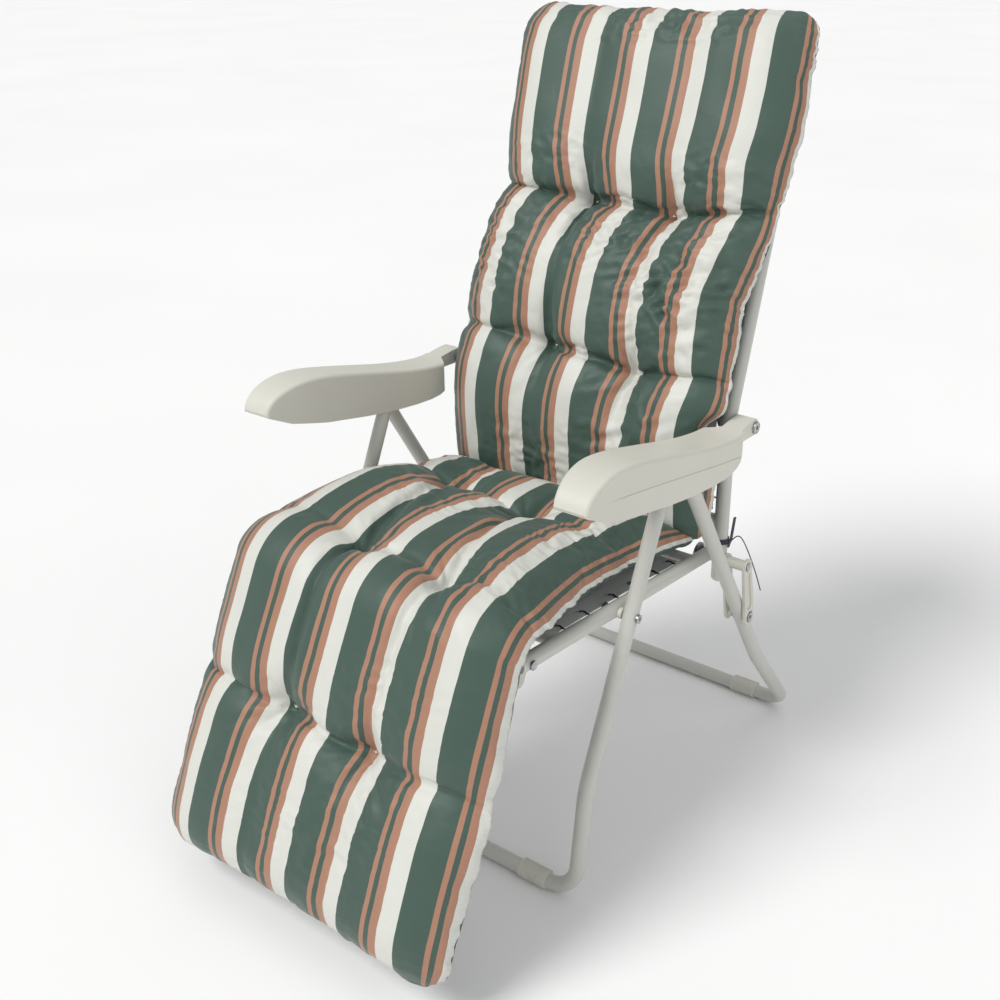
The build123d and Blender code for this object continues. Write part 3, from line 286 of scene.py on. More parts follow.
def sling_cloth():
    s = Mat("grey_sling_cloth")
    u, v, e = s.attr("cloth_u"), s.attr("cloth_v"), s.attr("seam")
    o = s.coords()
    w = weave_height(s, u, v, 0.0016)
    base = s.mix(s.noise(o, 8.0, 3.0), srgb(222, 223, 222), srgb(234, 235, 233))
    base = s.mix(0.8, base, s.ramp(w, [(0.0, (0.80, 0.80, 0.80, 1)), (1.0, (1, 1, 1, 1))]), "MULTIPLY")
    # a line of stitches along the hem
    band = s.math("SUBTRACT", 1.0, s.math("MULTIPLY", s.math("ABSOLUTE", s.math("SUBTRACT", e, 0.0155)), 1400.0), clamp=True)
    dash = s.math("GREATER_THAN", s.math("SINE", s.math("MULTIPLY", s.math("ADD", u, v), 1250.0)), -0.35)
    stitch = s.math("MULTIPLY", band, dash)
    base = s.mix(s.math("MULTIPLY", stitch, 0.8), base, srgb(232, 231, 224))
    s.put(s.b.inputs["Base Color"], base)
    s.put(s.b.inputs["Roughness"], s.ramp(w, [(0.0, (0.72, 0.72, 0.72, 1)), (1.0, (0.58, 0.58, 0.58, 1))]))
    s.b.inputs["Sheen Weight"].default_value = 0.15
    n1 = s.bump(w, 0.5, 0.0008)
    n2 = s.bump(stitch, 0.6, 0.0012, n1)
    s.put(s.b.inputs["Normal"], s.bump(s.noise(o, 30.0, 3.0, 0.6), 0.15, 0.003, n2))
    return s.m


def tie_cloth():
    s = Mat("navy_woven_tape")
    o = s.coords()
    w = s.n("TexWave", Vector=o, Scale=420.0, Distortion=1.5, Detail=2.0, wave_type="BANDS", bands_direction="DIAGONAL").outputs["Fac"]
    s.put(s.b.inputs["Base Color"], s.ramp(w, [(0.2, srgb(28, 33, 44)), (0.8, srgb(52, 60, 76))]))
    s.put(s.b.inputs["Roughness"], s.ramp(w, [(0.0, (0.8, 0.8, 0.8, 1)), (1.0, (0.66, 0.66, 0.66, 1))]))
    s.b.inputs["Sheen Weight"].default_value = 0.2
    s.put(s.b.inputs["Normal"], s.bump(w, 0.5, 0.0006))
    return s.m


def ribbon_cloth():
    s = Mat("black_ribbon")
    o = s.coords()
    w = s.noise(o, 1200.0, 2.0)
    s.put(s.b.inputs["Base Color"], s.ramp(w, [(0.3, srgb(14, 15, 18)), (0.7, srgb(36, 38, 42))]))
    s.b.inputs["Roughness"].default_value = 0.55
    s.b.inputs["Sheen Weight"].default_value = 0.2
    s.put(s.b.inputs["Normal"], s.bump(w, 0.4, 0.0004))
    return s.m


M_STRIPE = striped_cloth()
M_PLAIN = plain_cloth()
M_THREAD = thread_material()
M_PAINT = painted_steel()
M_PLASTIC = arm_plastic()
M_ZINC = steel("zinc_fasteners", srgb(150, 152, 152), srgb(196, 198, 198), 0.28)
M_WIRE = steel("dark_hook_wire", srgb(70, 72, 74), srgb(112, 114, 116), 0.32)
M_EYELET = steel("eyelet_metal", srgb(120, 122, 122), srgb(170, 172, 172), 0.30)
M_SLING = sling_cloth()
M_TIE = tie_cloth()
M_RIBBON = ribbon_cloth()


# ---------------------------------------------------------------- finishes on the CAD nodes
def finish_node(name, mat):
    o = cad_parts[name]
    if o.data.materials:
        for i in range(len(o.data.materials)):
            o.data.materials[i] = mat
    else:
        o.data.materials.append(mat)


PAINTED = ["rear_leg_frame", "front_leg_frame", "seat_frame", "backrest_frame", "footrest_frame"]
PLASTIC = [
    "armrest_left", "armrest_right", "rear_leg_caps", "front_leg_caps", "seat_rail_caps", "backrest_caps",
    "footrest_caps", "front_foot_sleeves", "rear_foot_sleeves", "link_inner_plates", "link_outer_plates",
    "link_spacers", "leg_pivot_spacers", "link_pivot_spacers", "seat_pivot_spacers",
]
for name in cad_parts:
    if name in PAINTED:
        finish_node(name, M_PAINT)
    elif name in PLASTIC:
        finish_node(name, M_PLASTIC)
    elif name.endswith("hooks"):
        finish_node(name, M_WIRE)
    elif name.startswith("tie_"):
        finish_node(name, M_TIE)
    elif name.endswith(("bolts", "nuts", "axles", "washers")):
        finish_node(name, M_ZINC)


# ---------------------------------------------------------------- small numeric helpers
def vnoise(x, y, seed):
    """Smooth value noise, the same every run."""
    rng = np.random.RandomState(seed)
    table = rng.rand(64, 64) * 2 - 1
    xi, yi = np.floor(x).astype(int), np.floor(y).astype(int)
    fx, fy = x - xi, y - yi
    fx, fy = fx * fx * (3 - 2 * fx), fy * fy * (3 - 2 * fy)
    a = table[xi % 64, yi % 64]
    b = table[(xi + 1) % 64, yi % 64]
    c = table[xi % 64, (yi + 1) % 64]
    d = table[(xi + 1) % 64, (yi + 1) % 64]
    return (a * (1 - fx) + b * fx) * (1 - fy) + (c * (1 - fx) + d * fx) * fy


def smooth(a, b, x):
    t = np.clip((x - a) / (b - a), 0, 1)
    return t * t * (3 - 2 * t)


def new_object(name, verts, faces, mats, face_mat=None):
    me = bpy.data.meshes.new(name)
    me.from_pydata([tuple(p) for p in verts], [], faces)
    for m in mats:
        me.materials.append(m)
    if face_mat is not None:
        me.polygons.foreach_set("material_index", np.asarray(face_mat, np.int32))
    me.polygons.foreach_set("use_smooth", np.ones(len(me.polygons), bool))
    me.update()
    o = bpy.data.objects.new(name, me)
    scene.collection.objects.link(o)
    return o


def set_attr(o, name, values):
    a = o.data.attributes.get(name) or o.data.attributes.new(name, "FLOAT", "POINT")
    a.data.foreach_set("value", np.asarray(values, np.float32))


def get_attr(o, name):
    a = o.data.attributes[name]
    out = np.empty(len(a.data), np.float32)
    a.data.foreach_get("value", out)
    return out.astype(float)


def get_co(o):
    co = np.empty(len(o.data.vertices) * 3, np.float32)
    o.data.vertices.foreach_get("co", co)
    return co.reshape(-1, 3).astype(float)


def set_co(o, co):
    o.data.vertices.foreach_set("co", np.asarray(co, np.float32).ravel())
    o.data.update()


def subdivided(o, levels=1):
    mod = o.modifiers.new("Subdivision", "SUBSURF")
    mod.levels = mod.render_levels = levels
    dg = bpy.context.evaluated_depsgraph_get()
    dg.update()
    me = bpy.data.meshes.new_from_object(o.evaluated_get(dg))
    o.modifiers.clear()
    old = o.data
    o.data = me
    me.name = o.name
    bpy.data.meshes.remove(old)
    me.polygons.foreach_set("use_smooth", np.ones(len(me.polygons), bool))
    return o


# ---------------------------------------------------------------- cushions
def graded(a, b, rim, step, k=11):
    """Grid lines from a to b, closer together at the two rims where the cloth turns over."""
    e = rim * (1 - np.cos(np.arange(k + 1) * np.pi / 2 / k))
    n = max(int(round((b - a - 2 * rim) / step)), 2)
    return np.concatenate([a + e[:-1], np.linspace(a + rim, b - rim, n + 1), b - e[:-1][::-1]])


class Pad:
    """One section of the cushion, made flat: x across, v along, z up from the back sheet, in millimetres."""

    def __init__(self, name, half, v0, v1, rows, height, shift, ends=(66.0, 66.0), corner=34.0, seam_z=19.0, rim=88.0, step=7.0):
        self.name, self.half, self.v0, self.v1, self.rows = name, half, v0, v1, rows
        self.seam_z = seam_z
        x, v = graded(-half, half, rim, step), graded(v0, v1, rim * 0.75, step)
        nx, nv = len(x), len(v)
        X, V = np.meshgrid(x, v, indexing="ij")
        dx = np.minimum(X + half, half - X)
        dv = np.minimum(V - v0, v1 - V)
        ex = np.clip(1 - (1 - np.clip(dx / rim, 0, 1)) ** 2, 0, 1) ** 0.68
        ev = (np.clip(1 - (1 - np.clip((V - v0) / ends[0], 0, 1)) ** 2, 0, 1) ** 0.58
              * np.clip(1 - (1 - np.clip((v1 - V) / ends[1], 0, 1)) ** 2, 0, 1) ** 0.58)
        E = ex * ev
        H = height(X, V)
        self.H = H
        crown = 1.0 + 0.035 * np.cos(np.clip(X / half, -1, 1) * np.pi / 2)
        top = seam_z + (H * crown * self.puff(X, V) - seam_z) * E
        # the back sheet rises to the seam
        rb = 34.0
        bx = np.sqrt(np.clip(1 - (1 - np.clip(dx / rb, 0, 1)) ** 2, 0, 1))
        bv = np.sqrt(np.clip(1 - (1 - np.clip(dv / rb, 0, 1)) ** 2, 0, 1))
        bottom = seam_z * (1 - bx * bv)
        # plan: rounded corners, long sides waisted at each row of tufts
        tu = np.abs(X) / half
        R = corner
        a = np.clip((np.abs(X) - (half - R)) / R, 0, 1)
        b = np.clip((np.abs(V - (v0 + v1) / 2) - ((v1 - v0) / 2 - R)) / R, 0, 1)
        PX = X + np.sign(X) * R * a * (np.sqrt(1 - b ** 2 / 2) - 1)
        PV = V + np.sign(V - (v0 + v1) / 2) * R * b * (np.sqrt(1 - a ** 2 / 2) - 1)
        pull = np.zeros_like(X)
        hang = np.zeros_like(X)
        for row in rows:
            dr = V - self.row_v(row, X)
            pull += row.get("waist", 0.012) * np.exp(-(dr / 26.0) ** 2)
            hang += row.get("hang", 0.0) * np.exp(-((dr - 17.0) / 15.0) ** 2)
        PX = PX * (1 - pull * tu ** 3)
        # the cloth is gathered in towards each tuft
        for row in rows:
            for tx, tv_ in row["tufts"]:
                r = np.sqrt((X - tx) ** 2 + (V - tv_) ** 2)
                g = 0.26 * np.exp(-r / 24.0)
                PX = PX - (X - tx) * g
                PV = PV - (V - tv_) * g
        PV_top = PV - hang * E
        idx_top = np.arange(nx * nv).reshape(nx, nv)
        idx_bot = np.full((nx, nv), -1)
        inner = np.zeros((nx, nv), bool)
        inner[1:-1, 1:-1] = True
        idx_bot[inner] = nx * nv + np.arange(inner.sum())
        idx_bot[~inner] = idx_top[~inner]
        verts = np.concatenate([
            np.stack([PX, PV_top, top], -1).reshape(-1, 3),
            np.stack([PX, PV, bottom], -1)[inner],
        ])
        faces, mats = [], []
        for i in range(nx - 1):
            for j in range(nv - 1):
                faces.append((idx_top[i, j], idx_top[i + 1, j], idx_top[i + 1, j + 1], idx_top[i, j + 1]))
                mats.append(0)
                faces.append((idx_bot[i, j], idx_bot[i, j + 1], idx_bot[i + 1, j + 1], idx_bot[i + 1, j]))
                mats.append(1)
        faces = [tuple(int(q) for q in f) for f in faces]
        # printed stripes follow the cloth's own width, seam to seam
        flat_top = seam_z + (np.median(H) - seam_z) * np.sqrt(np.clip(1 - (1 - np.clip(np.minimum(x + half, half - x) / rim, 0, 1)) ** 2, 0, 1))
        arc = np.concatenate([[0], np.cumsum(np.hypot(np.diff(x), np.diff(flat_top)))])
        self.cloth_width = arc[-1]
        U = np.repeat(arc[:, None], nv, 1)
        edge = np.minimum(np.minimum(U, arc[-1] - U), dv + 12.0 * 0)
        sel = np.concatenate([np.ones(nx * nv, bool), np.zeros(inner.sum(), bool)])

        def both(a, b=None):
            b = a if b is None else b
            return np.concatenate([a.reshape(-1), b[inner]])

        self.o = new_object(name, verts / 1000.0, faces, [M_STRIPE, M_PLAIN, M_THREAD], mats)
        set_attr(self.o, "across", both(U / arc[-1] - shift(V) / 6.0))
        set_attr(self.o, "cloth_u", both(U / 1000.0))
        set_attr(self.o, "cloth_v", both(V / 1000.0))
        set_attr(self.o, "seam", both(edge / 1000.0, np.minimum(dx, dv) / 1000.0))
        set_attr(self.o, "side", np.where(sel, 1.0, 0.0))
        set_attr(self.o, "flat_x", both(X))
        self.slack = []
        # what the stuffing and stitching hold still
        self.tufts = [(tx, tv_) for row in rows for tx, tv_ in row["tufts"]]
        near = np.zeros_like(X, bool)
        for tx, tv_ in self.tufts:
            near |= np.hypot(X - tx, V - tv_) < 9.0
        deep = np.minimum(dx, dv) > 36.0
        self.pins = np.nonzero(np.concatenate([near.reshape(-1), deep[inner]]))[0]

    def row_v(self, row, X):
        """Where a row's crease runs, through its tufts and out to the two seams."""
        px = [-self.half] + [t[0] for t in row["tufts"]] + [self.half]
        pv = [row["ends"][0]] + [t[1] for t in row["tufts"]] + [row["ends"][1]]
        return np.interp(X, px, pv)

    def puff(self, X, V):
        f = np.ones_like(X)
        for row in self.rows:
            dv = V - self.row_v(row, X)
            near = np.zeros_like(X)
            for tx, tv_ in row["tufts"]:
                near = np.maximum(near, np.exp(-np.abs(X - tx) / row.get("reach", 34.0)))
            mid = row.get("mid", 0.20)
            depth = mid + (row.get("deep", 0.34) - mid) * near
            lam = np.where(dv > 0, row.get("lam", 30.0), row.get("lam_low", row.get("lam", 30.0)))
            f *= 1 - depth * np.exp(-np.sqrt(dv ** 2 + 4.0) / lam)
            for tx, tv_ in row["tufts"]:
                r = np.sqrt((X - tx) ** 2 + (V - tv_) ** 2 + 4.0)
                f *= 1 - row.get("pit", 0.24) * np.exp(-r / 15.0)
        # soft valleys that join the tufts of a column
        for k in range(2):
            xs = [row["tufts"][k][0] for row in self.rows]
            vs = [row["tufts"][k][1] for row in self.rows]
            order = np.argsort(vs)
            xc = np.interp(V, np.array(vs)[order], np.array(xs)[order])
            f *= 1 - 0.10 * np.exp(-np.abs(X - xc) / 30.0)
        return f

    def inflate(self, frames=18, pressure=4.0, shrink=-0.045, cap=11.0):
        o = self.o
        rest = get_co(o)
        vg = o.vertex_groups.new(name="pin")
        vg.add([int(i) for i in self.pins], 1.0, "REPLACE")
        mod = o.modifiers.new("Cloth", "CLOTH")
        c = mod.settings
        c.quality = 5
        c.mass = 0.25
        c.tension_stiffness = 18
        c.compression_stiffness = 12
        c.shear_stiffness = 6
        c.bending_stiffness = 0.35
        c.tension_damping = c.compression_damping = c.shear_damping = 8
        c.air_damping = 2
        c.use_pressure = True
        c.uniform_pressure_force = pressure
        c.shrink_min = shrink
        c.vertex_group_mass = "pin"
        c.effector_weights.gravity = 0
        mod.collision_settings.use_collision = False
        mod.collision_settings.use_self_collision = False
        mod.point_cache.frame_start = 1
        mod.point_cache.frame_end = frames + 1
        for f in range(1, frames + 1):
            scene.frame_set(f)
        dg = bpy.context.evaluated_depsgraph_get()
        me = o.evaluated_get(dg).to_mesh()
        co = np.empty(len(me.vertices) * 3, np.float32)
        me.vertices.foreach_get("co", co)
        co = co.reshape(-1, 3).astype(float)
        o.evaluated_get(dg).to_mesh_clear()
        o.modifiers.clear()
        o.vertex_groups.clear()
        scene.frame_set(1)
        d = co - rest
        n = np.linalg.norm(d, axis=1)
        lim = cap / 1000.0
        k = np.where(n > lim, lim / np.maximum(n, 1e-9), 1.0)
        # soft cap, so that the limit leaves no flats
        k = np.where(n > 1e-9, lim * np.tanh(n / lim) / np.maximum(n, 1e-9), 1.0)
        print("inflate", self.name, "median move mm", round(float(np.median(n) * 1000), 2), "most", round(float(n.max() * 1000), 2))
        set_co(o, rest + d * k[:, None])

    def fit(self):
        """The stuffed cloth draws in; this brings the outline back to the pad's own width and length."""
        co = get_co(self.o)
        v = co[:, 1] * 1000
        bins = np.floor((v - self.v0) / 20.0).astype(int)
        w = [np.abs(co[bins == b, 0]).max() * 1000 for b in range(3, int((self.v1 - self.v0) / 20.0) - 3)]
        co[:, 0] *= self.half / float(np.percentile(w, 70))
        lo, hi = v.min(), v.max()
        co[:, 1] = (self.v0 + (v - lo) * (self.v1 - self.v0) / (hi - lo)) / 1000
        set_co(self.o, co)

    def wrinkle(self, seed, edge_mm=2.3, tuft_mm=4.2):
        """Puckers along the seams and folds round the tufts, finer than the cloth grid carries."""
        o = self.o
        me = o.data
        co = get_co(o)
        nrm = np.empty(len(me.vertices) * 3, np.float32)
        me.vertex_normals.foreach_get("vector", nrm)
        nrm = nrm.reshape(-1, 3).astype(float)
        x, v = co[:, 0] * 1000, co[:, 1] * 1000
        side = get_attr(o, "side")
        dx = self.half - np.abs(get_attr(o, "flat_x"))
        dv = np.minimum(v - self.v0, self.v1 - v)
        seam_u = np.minimum(get_attr(o, "cloth_u") * 1000, self.cloth_width - get_attr(o, "cloth_u") * 1000)
        h = np.zeros(len(co))
        # gathers along the long seams
        amp = edge_mm * np.exp(-seam_u / 30.0) * (0.35 + 0.65 * smooth(-0.2, 0.7, vnoise(v / 90.0, np.sign(x) * 3.3 + 9, seed)))
        h += amp * vnoise(v / 8.5, seam_u / 46.0 + 20 * (x > 0), seed + 1)
        h += 0.6 * amp * vnoise(v / 4.6 + 7, seam_u / 30.0 + 20 * (x > 0), seed + 2)
        # gathers along the short seams
        h += edge_mm * 0.9 * np.exp(-np.maximum(dv, 0) / 24.0) * vnoise(x / 10.0, dv / 40.0 + 40 * (v > (self.v0 + self.v1) / 2), seed + 3)
        # folds that run out from each tuft
        for k, (tx, tv_) in enumerate(self.tufts):
            r = np.hypot(x - tx, v - tv_)
            a = np.arctan2(v - tv_, x - tx)
            fold = vnoise(a * 2.2 + 11 * k, r / 60.0 + 5, seed + 10 + k) + 0.6 * vnoise(a * 4.4 + 5 * k, r / 40.0, seed + 30 + k)
            h += tuft_mm * fold * smooth(3, 16, r) * np.exp(-r / 46.0)
            crisp = 1 - np.abs(vnoise(a * 1.9 + 3 * k, r / 90.0 + 2, seed + 110 + k)) * 5.0
            h -= 3.4 * np.clip(crisp, 0, 1) * smooth(4, 14, r) * np.exp(-r / 38.0)
        # a sharp fold along each row, with cross creases beside it
        for k, row in enumerate(self.rows):
            wav = 5.0 * vnoise(x / 40.0 + 3, x * 0 + k, seed + 150)
            d = v - self.row_v(row, x) + wav
            xs = [t[0] for t in row["tufts"]]
            mid = smooth(xs[0] - 30, xs[0] + 5, x) * (1 - smooth(xs[1] - 5, xs[1] + 30, x))
            h -= (row.get("fold", 3.0) * (0.35 + 0.65 * mid)) * np.exp(-np.abs(d) / 4.5) * smooth(4, 30, self.half - np.abs(x))
            h += 2.2 * np.exp(-np.abs(d) / 34.0) * vnoise(x / 17.0 + d / 40.0, d / 30.0 + 9 * k, seed + 50 + k)
            ridge = np.clip(1 - np.abs(vnoise(x / 26.0 + d / 55.0 + 2, d / 70.0 + 6 * k, seed + 90 + k)) * 4.0, 0, 1)
            h -= 2.6 * ridge * np.exp(-np.abs(d) / 30.0) * smooth(3, 14, np.abs(d))
        # long folds that join the tufts of a column
        for k in range(2):
            order = np.argsort([row["tufts"][k][1] for row in self.rows])
            cx = np.array([self.rows[i]["tufts"][k][0] for i in order])
            cv = np.array([self.rows[i]["tufts"][k][1] for i in order])
            xc = np.interp(v, cv, cx) + 7.0 * vnoise(v / 75.0 + 4 * k, v * 0 + 1.5, seed + 130 + k)
            along = smooth(-0.45, 0.20, vnoise(v / 95.0 + 9 * k, v * 0 + 4.5, seed + 140 + k))
            inside = smooth(cv[0] - 70, cv[0] - 10, v) * (1 - smooth(cv[-1] + 10, cv[-1] + 70, v))
            q = np.abs(x - xc)
            h += (-6.0 * np.exp(-q / 5.0) + 2.6 * np.exp(-((q - 15.0) / 9.0) ** 2)) * along * inside
        # slack cloth crumpled in places
        for cx, cv_, rx, rv, slant, amp_ in self.slack:
            w = np.exp(-((x - cx) / rx) ** 2 - ((v - cv_) / rv) ** 2)
            t = vnoise(x / 30.0 + slant * v / 30.0, v / 17.0 - slant * x / 26.0 + 3, seed + 160)
            t2 = vnoise(x / 15.0 - slant * v / 22.0, v / 9.0 + slant * x / 20.0 + 8, seed + 161)
            h += amp_ * w * (1.0 - 2.6 * np.abs(t)) + 0.45 * amp_ * w * (0.8 - 2.4 * np.abs(t2))
        # broad unevenness of the stuffing
        h += 2.0 * vnoise(x / 62.0 + 3, v / 70.0 + 5, seed + 70)
        h += 0.7 * vnoise(x / 24.0 + 3, v / 46.0 + 5, seed + 71)
        top = side > 0.5
        # the sewn seam stands out as a thin lip
        lip = 1.8 * np.exp(-(np.minimum(seam_u, np.maximum(dv, 0)) / 2.6) ** 2)
        co[:, :] += nrm * ((np.where(top, h, 0.25 * h) + lip) / 1000.0)[:, None]
        set_co(o, co)

    def thread_knots(self, seed):
        """Short knotted thread ends at the tufts, as extra shells of the same mesh."""
        rng = np.random.RandomState(seed)
        co = get_co(self.o)
        side = get_attr(self.o, "side")
        top = np.nonzero(side > 0.9)[0]
        parts = []
        for tx, tv_ in self.tufts:
            d = np.hypot(co[top, 0] * 1000 - tx, co[top, 1] * 1000 - tv_)
            z0 = co[top[np.argmin(d)], 2] * 1000
            c = np.array([tx, tv_, z0 + 1.2])
            # a bar of thread across the tuft, a small knot and two loose ends
            parts.append(([c + (-3.0, 0, -0.8), c + (-1.4, 0.2, 0.4), c + (1.4, -0.2, 0.4), c + (3.0, 0, -0.8)], 0.55))
            a = rng.rand() * 6.28
            parts.append(([c + (1.3 * math.cos(a + q), 1.3 * math.sin(a + q), 0.7 + 0.3 * math.sin(2 * q)) for q in np.linspace(0, 6.28, 9)], 0.55))
            for s in (1, -1):
                b = a + s * 0.9 + rng.rand() * 0.5
                parts.append(([c + (0, 0, 0.8), c + (2.2 * math.cos(b), 2.2 * math.sin(b), 1.6), c + (4.2 * math.cos(b + 0.3), 4.2 * math.sin(b + 0.3), 0.8)], 0.32))
        self.knots = parts


def tube_mesh(points, radius, sides=7):
    """Vertices and faces of a thin closed tube through the points."""
    p = np.asarray(points, float)
    # smooth it
    t = np.linspace(0, len(p) - 1, (len(p) - 1) * 4 + 1)
    q = np.stack([np.interp(t, range(len(p)), p[:, k]) for k in range(3)], 1)
    for _ in range(2):
        q[1:-1] = (q[:-2] + 2 * q[1:-1] + q[2:]) / 4
    d = np.gradient(q, axis=0)
    d /= np.linalg.norm(d, axis=1)[:, None]
    up = np.array([0, 0, 1.0]) if abs(d[0][2]) < 0.9 else np.array([1.0, 0, 0])
    a = np.cross(d, up)
    a /= np.maximum(np.linalg.norm(a, axis=1), 1e-6)[:, None]
    b = np.cross(d, a)
    verts, faces = [], []
    n = len(q)
    for i in range(n):
        k = 0.72 if i in (0, n - 1) else 1.0
        for j in range(sides):
            w = 2 * math.pi * j / sides
            verts.append(q[i] + radius * k * (math.cos(w) * a[i] + math.sin(w) * b[i]))
    for i in range(n - 1):
        for j in range(sides):
            j2 = (j + 1) % sides
            faces.append((i * sides + j, i * sides + j2, (i + 1) * sides + j2, (i + 1) * sides + j))
    faces.append(tuple(range(sides))[::-1])
    faces.append(tuple((n - 1) * sides + j for j in range(sides)))
    return verts, faces


def add_knots(pad, mapped):
    """Adds the pad's knot shells to its mesh; mapped turns flat points into the row frame."""
    o = pad.o
    me = o.data
    nv = len(me.vertices)
    co = get_co(o)
    names = ("across", "cloth_u", "cloth_v", "seam", "side", "flat_x")
    attrs = {k: get_attr(o, k) for k in names}
    faces = [tuple(p.vertices) for p in me.polygons]
    mats = [p.material_index for p in me.polygons]
    verts = [co]
    for pts, r in pad.knots:
        v, f = tube_mesh(pts, r)
        base = sum(len(q) for q in verts)
        verts.append(mapped(np.asarray(v)))
        faces += [tuple(i + base for i in q) for q in f]
        mats += [2] * len(f)
    allv = np.concatenate(verts)
    new = bpy.data.meshes.new(o.name)
    new.from_pydata([tuple(p) for p in allv], [], faces)
    for m in me.materials:
        new.materials.append(m)
    new.polygons.foreach_set("material_index", np.asarray(mats, np.int32))
    new.polygons.foreach_set("use_smooth", np.ones(len(new.polygons), bool))
    new.update()
    o.data = new
    bpy.data.meshes.remove(me)
    for k in names:
        set_attr(o, k, np.concatenate([attrs[k], np.zeros(len(allv) - nv)]))


# side-view geometry of the three sections, millimetres
P3, P5, BACK_TOP, K = np.array([388.5, 379.5]), np.array([391.0, 604.0]), np.array([643.0, 1118.0]), np.array([-75.0, 421.8])
GAP = 14.5


def unit(a):
    return a / np.hypot(*a)


seat_back = unit(np.array([263.0, -24.0]))
foot_dir = unit(np.array([-0.407, -0.9134]))
ANG_SEAT = math.atan2(seat_back[0], -seat_back[1])      # angle of the seat's normal
KNEE = math.radians(71.19)
b_low, b_up = unit(P5 - P3), unit(BACK_TOP - P5)
BEND = math.atan2(b_up[0], b_up[1]) - math.atan2(b_low[0], b_low[1])


def eased(t, at, values, reach=9.0):
    """A smooth line through a table of widths."""
    g = np.arange(at[0] - 40.0, at[-1] + 40.0, 2.0)
    k = np.exp(-0.5 * (np.arange(-14, 15) * 2.0 / reach) ** 2)
    y = np.convolve(np.pad(np.interp(g, at, values), 14, mode="edge"), k / k.sum(), "valid")
    return np.interp(t, g, y)


def seat_map(c):
    """Flat x, v, z in mm to the row frame in m: v runs from the seat's rear, over the knee, down the leg."""
    x, v, z = c[:, 0], c[:, 1], c[:, 2]
    half = 31.0
    # sections: a longer soft bend than the hinge itself
    phi = KNEE * smooth(-half * 1.55, half * 1.55, v)
    s_back = np.maximum(-v - half, 0)
    s_leg = np.maximum(v - half, 0)
    nang = ANG_SEAT + phi
    ny, nz = np.cos(nang), np.sin(nang)
    by = K[0] + s_back * seat_back[0] + s_leg * foot_dir[0]
    bz = K[1] + s_back * seat_back[1] + s_leg * foot_dir[1]
    # the rear edge lies thin and low, so that it folds in front of the back's cloth
    h = GAP + z - 9.0 * (1 - smooth(-478, -432, v))
    right = eased(v, [-500, -440, -373, -309, -233, -172, -102, -73, -35, 19, 64, 110, 200, 445],
                  [232, 227, 220, 215, 214, 219, 230, 236, 244, 250, 252, 255, 258, 258])
    left = eased(v, [-500, -330, -285, -232, -190, -130, -60, 0, 40, 110, 200, 330, 445],
                 [-238, -241, -242, -242, -250, -258, -261, -260, -258, -260, -264, -266, -266])
    cen, wid = (left + right) / 2, (right - left) / 2 / SEAT_HALF
    return np.stack([(cen + x * wid) / 1000, (by + ny * h) / 1000 + YS, (bz + nz * h) / 1000], 1)


BACK_HALF = 248.0


def back_map(c):
    x, t, z = c[:, 0], c[:, 1], c[:, 2]
    arc, ref, rad = 35.0, 50.0, 144.0
    cut = math.tan(BEND / 2) * rad
    lo = np.maximum(-t - arc, 0)
    hi = np.maximum(t - arc, 0)
    phi = BEND * np.clip((t + arc) / (2 * arc), 0, 1)
    a0 = math.atan2(b_low[1], b_low[0])           # direction along the tube, low part
    ang = a0 - phi
    # centre of the bend, behind the tube
    n_low = np.array([-b_low[1], b_low[0]])
    start = P5 - b_low * cut
    centre = start - n_low * rad
    ny, nz = -np.sin(ang), np.cos(ang)
    h = GAP + z
    y = centre[0] + ny * (rad + h) - lo * b_low[0] + hi * b_up[0]
    zz = centre[1] + nz * (rad + h) - lo * b_low[1] + hi * b_up[1]
    # full beside the tube and bulging over the armrests' tails
    right = eased(t, [-185, -130, -76, -30, 6, 20, 37, 58, 100, 139, 170, 203, 244, 278, 311, 357, 400, 470, 530, 603],
                  [252, 256, 256, 252, 254, 261, 263, 258, 252, 247, 246, 253, 260, 264, 267, 260, 265, 262, 254, 241])
    left = eased(t, [-185, -60, 18, 60, 200, 250, 292, 330, 380, 460, 540, 603],
                 [-226, -229, -231, -233, -234, -231, -221, -230, -240, -252, -262, -258])
    cen, wid = (left + right) / 2, (right - left) / 2
    xx = cen + x / BACK_HALF * wid
    # drawn in where it passes between the armrests
    tight = np.where(xx > 212.0, 212.0 + 25.0 * np.tanh((xx - 212.0) / 25.0), xx)
    w = smooth(-74, -48, t) * (1 - smooth(-8, 14, t))
    xx = xx * (1 - w) + tight * w
    return np.stack([xx / 1000, y / 1000 + YS, zz / 1000], 1)


SEAT_HALF = 246.0
# v of a point s behind the knee is -(31 + s); down the leg it is 31 + s
seat_rows = [
    {"tufts": [(-101.0, -296.0), (54.0, -281.0)], "ends": (-294.0, -286.0), "mid": 0.16, "deep": 0.34, "pit": 0.30, "lam": 30.0, "waist": 0.006, "fold": 3.0},
    {"tufts": [(-56.0, -48.0), (95.0, -37.0)], "ends": (-50.0, -36.0), "mid": 0.12, "deep": 0.30, "pit": 0.32, "lam": 30.0, "waist": 0.006, "fold": 2.2},
    {"tufts": [(-76.0, 197.0), (64.0, 206.0)], "ends": (188.0, 200.0), "mid": 0.26, "deep": 0.42, "pit": 0.32, "lam": 28.0, "waist": 0.014, "fold": 4.5},
]


def seat_height(X, V):
    h = np.interp(V, [-478, -446, -410, -380, -294, -180, -60, 30, 110, 204, 320, 443], [26, 33, 49, 61, 66, 68, 66, 62, 61, 59, 60, 55])
    h = h + 20.0 * np.exp(-((X + 165) / 95.0) ** 2 - ((V + 200) / 120.0) ** 2)
    return h * 1.06 * (1 - 0.10 * smooth(120, 246, X) * (1 - smooth(-60, 120, V)))


